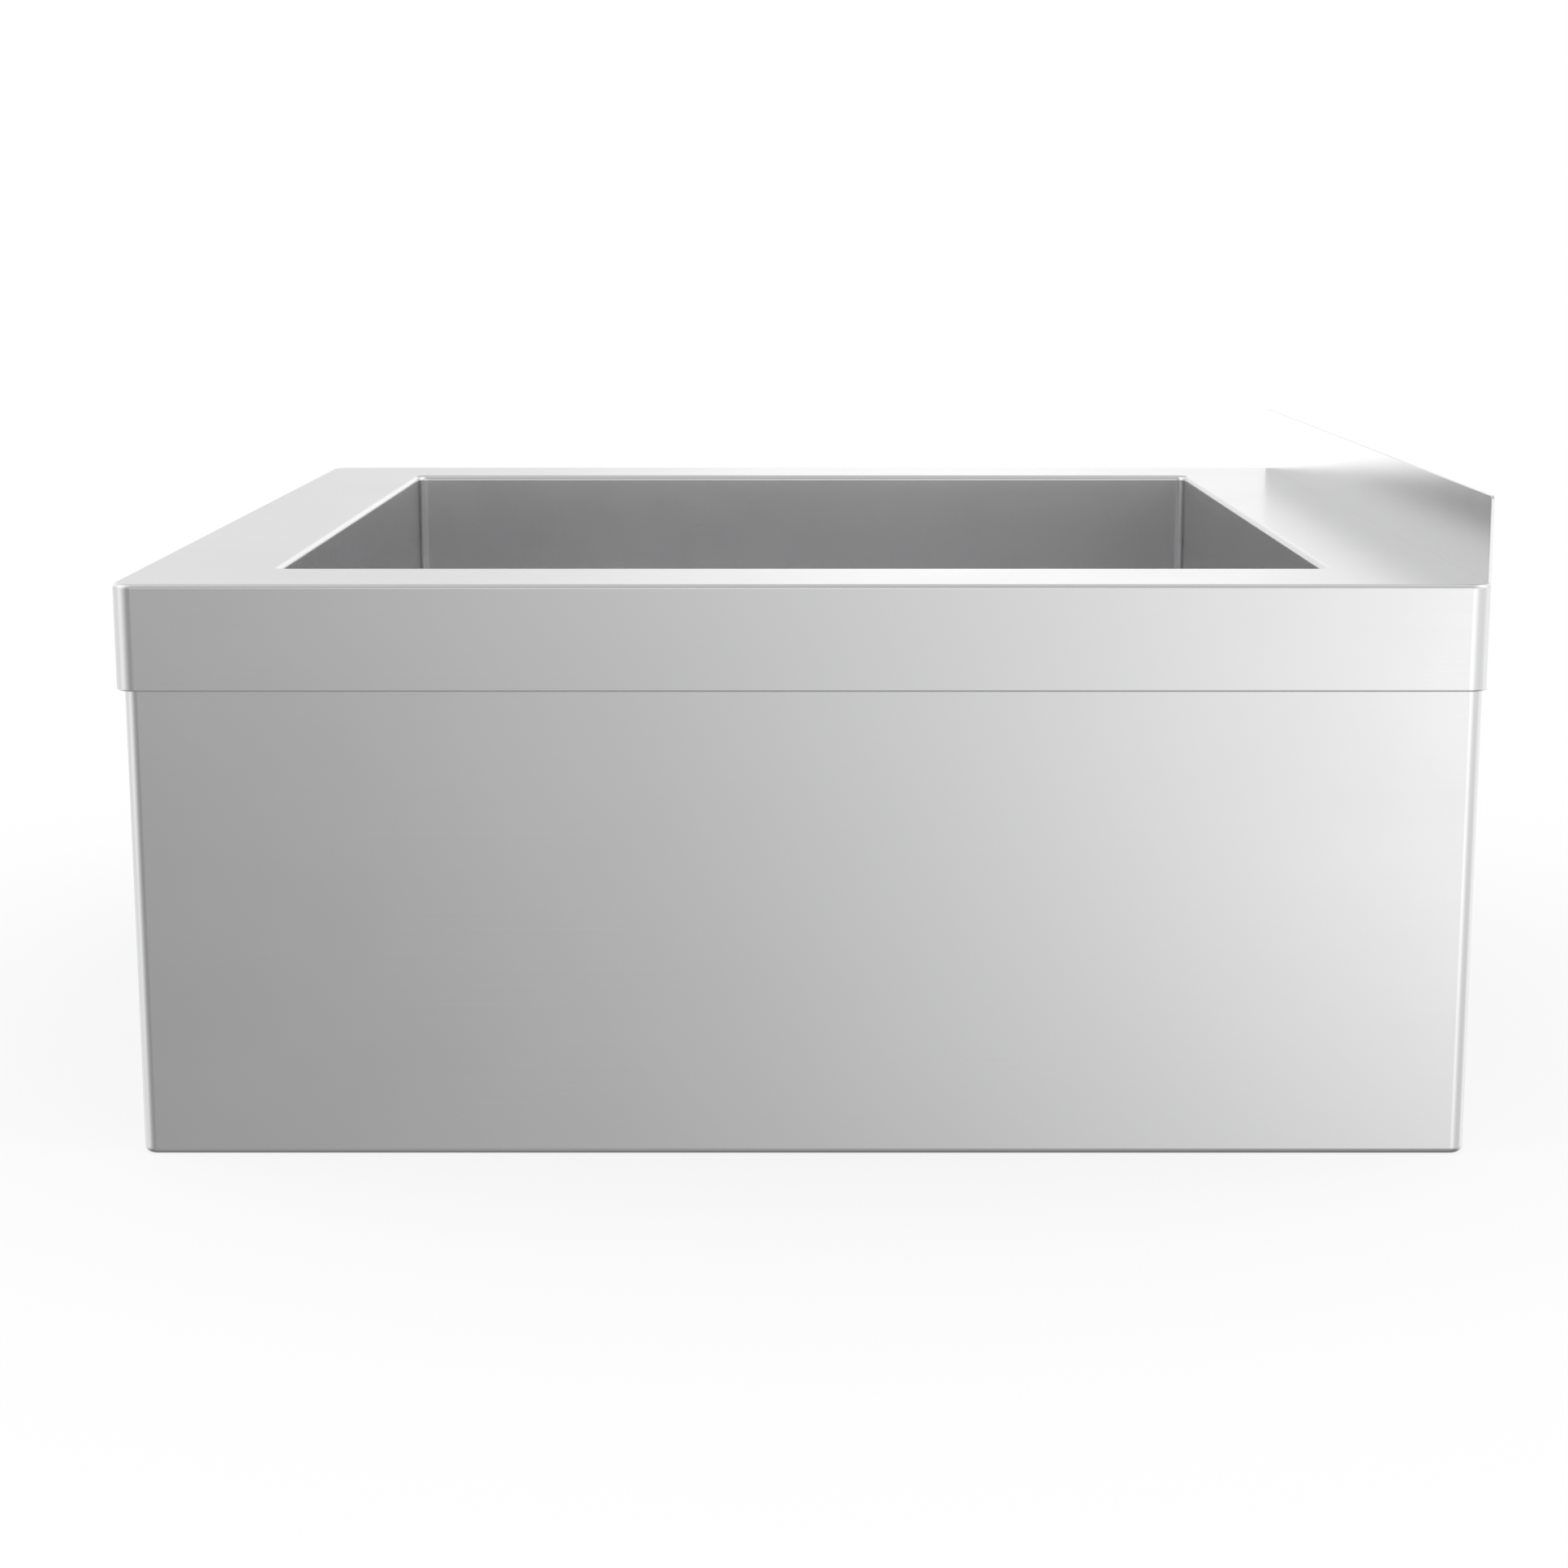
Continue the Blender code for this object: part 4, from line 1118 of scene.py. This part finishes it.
def make_room():
    """The world: white to the camera, a grey room with soft lights and a white background to the metal."""
    world = bpy.data.worlds.new("room")
    world.use_nodes = True
    world.cycles.sampling_method = "NONE"
    bpy.context.scene.world = world
    board = Board(world.node_tree)
    board.tree.nodes.clear()
    direction = board.node("ShaderNodeTexCoord", output="Generated")

    def glow(turn, rise, tightness):
        """1 towards a direction, falling softly to 0 away from it."""
        turn, rise = math.radians(turn), math.radians(rise)
        towards = (math.sin(turn) * math.cos(rise), -math.cos(turn) * math.cos(rise), math.sin(rise))
        settings = {"operation": "DOT_PRODUCT"}
        facing = board.node("ShaderNodeVectorMath", settings, {0: direction, 1: towards}, output="Value")
        return math.e ** ((facing - 1) * tightness)

    camera_ray, glossy_ray, through_ray = rays(board)
    background = (glossy_ray + through_ray) * glow(*BACKGROUND)
    level = background + (1 - background) * ROOM_GREY
    for turn, rise, tightness, strength in ROOM_LIGHTS:
        level = level + glow(turn, rise, tightness) * strength
    level = level * (1 - camera_ray) + camera_ray
    lit = board.node("ShaderNodeBackground", values={"Color": (1, 1, 1, 1), "Strength": level})
    board.node("ShaderNodeOutputWorld", values={"Surface": lit})


# Operators


class MOPSINK_OT_top(bpy.types.Operator):
    """Make the folded top with its lip"""

    bl_idname = "mop_sink.top"
    bl_label = "Top"

    def execute(self, context):
        make_top(settings_of("sheet"))
        return {"FINISHED"}


class MOPSINK_OT_splash(bpy.types.Operator):
    """Make the splash on the right side"""

    bl_idname = "mop_sink.splash"
    bl_label = "Side splash"

    def execute(self, context):
        make_splash(settings_of("sheet"))
        return {"FINISHED"}


class MOPSINK_OT_bowl(bpy.types.Operator):
    """Make the bowl with its cove, falling floor and recess"""

    bl_idname = "mop_sink.bowl"
    bl_label = "Bowl"

    def execute(self, context):
        make_bowl(settings_of("sheet"))
        return {"FINISHED"}


class MOPSINK_OT_casing(bpy.types.Operator):
    """Make the casing with its folded foot"""

    bl_idname = "mop_sink.casing"
    bl_label = "Casing"

    def execute(self, context):
        make_casing(settings_of("sheet"))
        return {"FINISHED"}


class MOPSINK_OT_stiffeners(bpy.types.Operator):
    """Finish the stiffeners and add their spot welds"""

    bl_idname = "mop_sink.stiffeners"
    bl_label = "Stiffeners"

    def execute(self, context):
        make_stiffeners(settings_of("waste"))
        return {"FINISHED"}


class MOPSINK_OT_pads(bpy.types.Operator):
    """Finish the sound pads under the bowl"""

    bl_idname = "mop_sink.pads"
    bl_label = "Sound pads"

    def execute(self, context):
        make_pads()
        return {"FINISHED"}


class MOPSINK_OT_waste(bpy.types.Operator):
    """Make the cup, its rings and nuts, and the outlet tube"""

    bl_idname = "mop_sink.waste"
    bl_label = "Waste"

    def execute(self, context):
        make_waste(settings_of("waste"))
        return {"FINISHED"}


class MOPSINK_OT_basket(bpy.types.Operator):
    """Make the perforated basket"""

    bl_idname = "mop_sink.basket"
    bl_label = "Basket"

    def execute(self, context):
        make_basket(settings_of("waste"))
        return {"FINISHED"}


class MOPSINK_OT_stopper(bpy.types.Operator):
    """Make the knob, post and plug"""

    bl_idname = "mop_sink.stopper"
    bl_label = "Stopper"

    def execute(self, context):
        make_stopper()
        return {"FINISHED"}


class MOPSINK_OT_feet(bpy.types.Operator):
    """Make the levelling feet and finish their gussets"""

    bl_idname = "mop_sink.feet"
    bl_label = "Levelling feet"

    def execute(self, context):
        make_feet(settings_of("waste"))
        return {"FINISHED"}


class MOPSINK_OT_stage(bpy.types.Operator):
    """Make the floor, the light and the camera"""

    bl_idname = "mop_sink.stage"
    bl_label = "Stage"

    def execute(self, context):
        make_stage(settings_of("stage"))
        return {"FINISHED"}


OPERATORS = (
    MOPSINK_OT_top,
    MOPSINK_OT_splash,
    MOPSINK_OT_bowl,
    MOPSINK_OT_casing,
    MOPSINK_OT_stiffeners,
    MOPSINK_OT_pads,
    MOPSINK_OT_waste,
    MOPSINK_OT_basket,
    MOPSINK_OT_stopper,
    MOPSINK_OT_feet,
    MOPSINK_OT_stage,
)


class MOPSINK_PT_pieces(bpy.types.Panel):
    """Sizes, finishes and the operators of the mop sink"""

    bl_label = "Mop sink"
    bl_idname = "MOPSINK_PT_pieces"
    bl_space_type = "VIEW_3D"
    bl_region_type = "UI"
    bl_category = "Mop sink"

    def draw(self, context):
        layout = self.layout
        for group, title in GROUPS.values():
            layout.label(text=title)
            for name in group.__annotations__:
                layout.prop(settings_of(title.lower()), name)
        for operator in OPERATORS:
            layout.operator(operator.bl_idname)


GROUPS = {
    "mop_sink_sheet": (MopSinkSheet, "Sheet"),
    "mop_sink_waste": (MopSinkWaste, "Waste"),
    "mop_sink_finish": (MopSinkFinish, "Finish"),
    "mop_sink_stage": (MopSinkStage, "Stage"),
}


def register():
    for name, (group, _) in GROUPS.items():
        bpy.utils.register_class(group)
        setattr(bpy.types.Scene, name, PointerProperty(type=group))
    for kind in (*OPERATORS, MOPSINK_PT_pieces):
        bpy.utils.register_class(kind)


def unregister():
    for kind in (MOPSINK_PT_pieces, *reversed(OPERATORS)):
        bpy.utils.unregister_class(kind)
    for name, (group, _) in reversed(GROUPS.items()):
        delattr(bpy.types.Scene, name)
        bpy.utils.unregister_class(group)


def main():
    register()
    for operator in OPERATORS:
        area, name = operator.bl_idname.split(".")
        getattr(getattr(bpy.ops, area), name)()


if __name__ == "__main__":
    main()
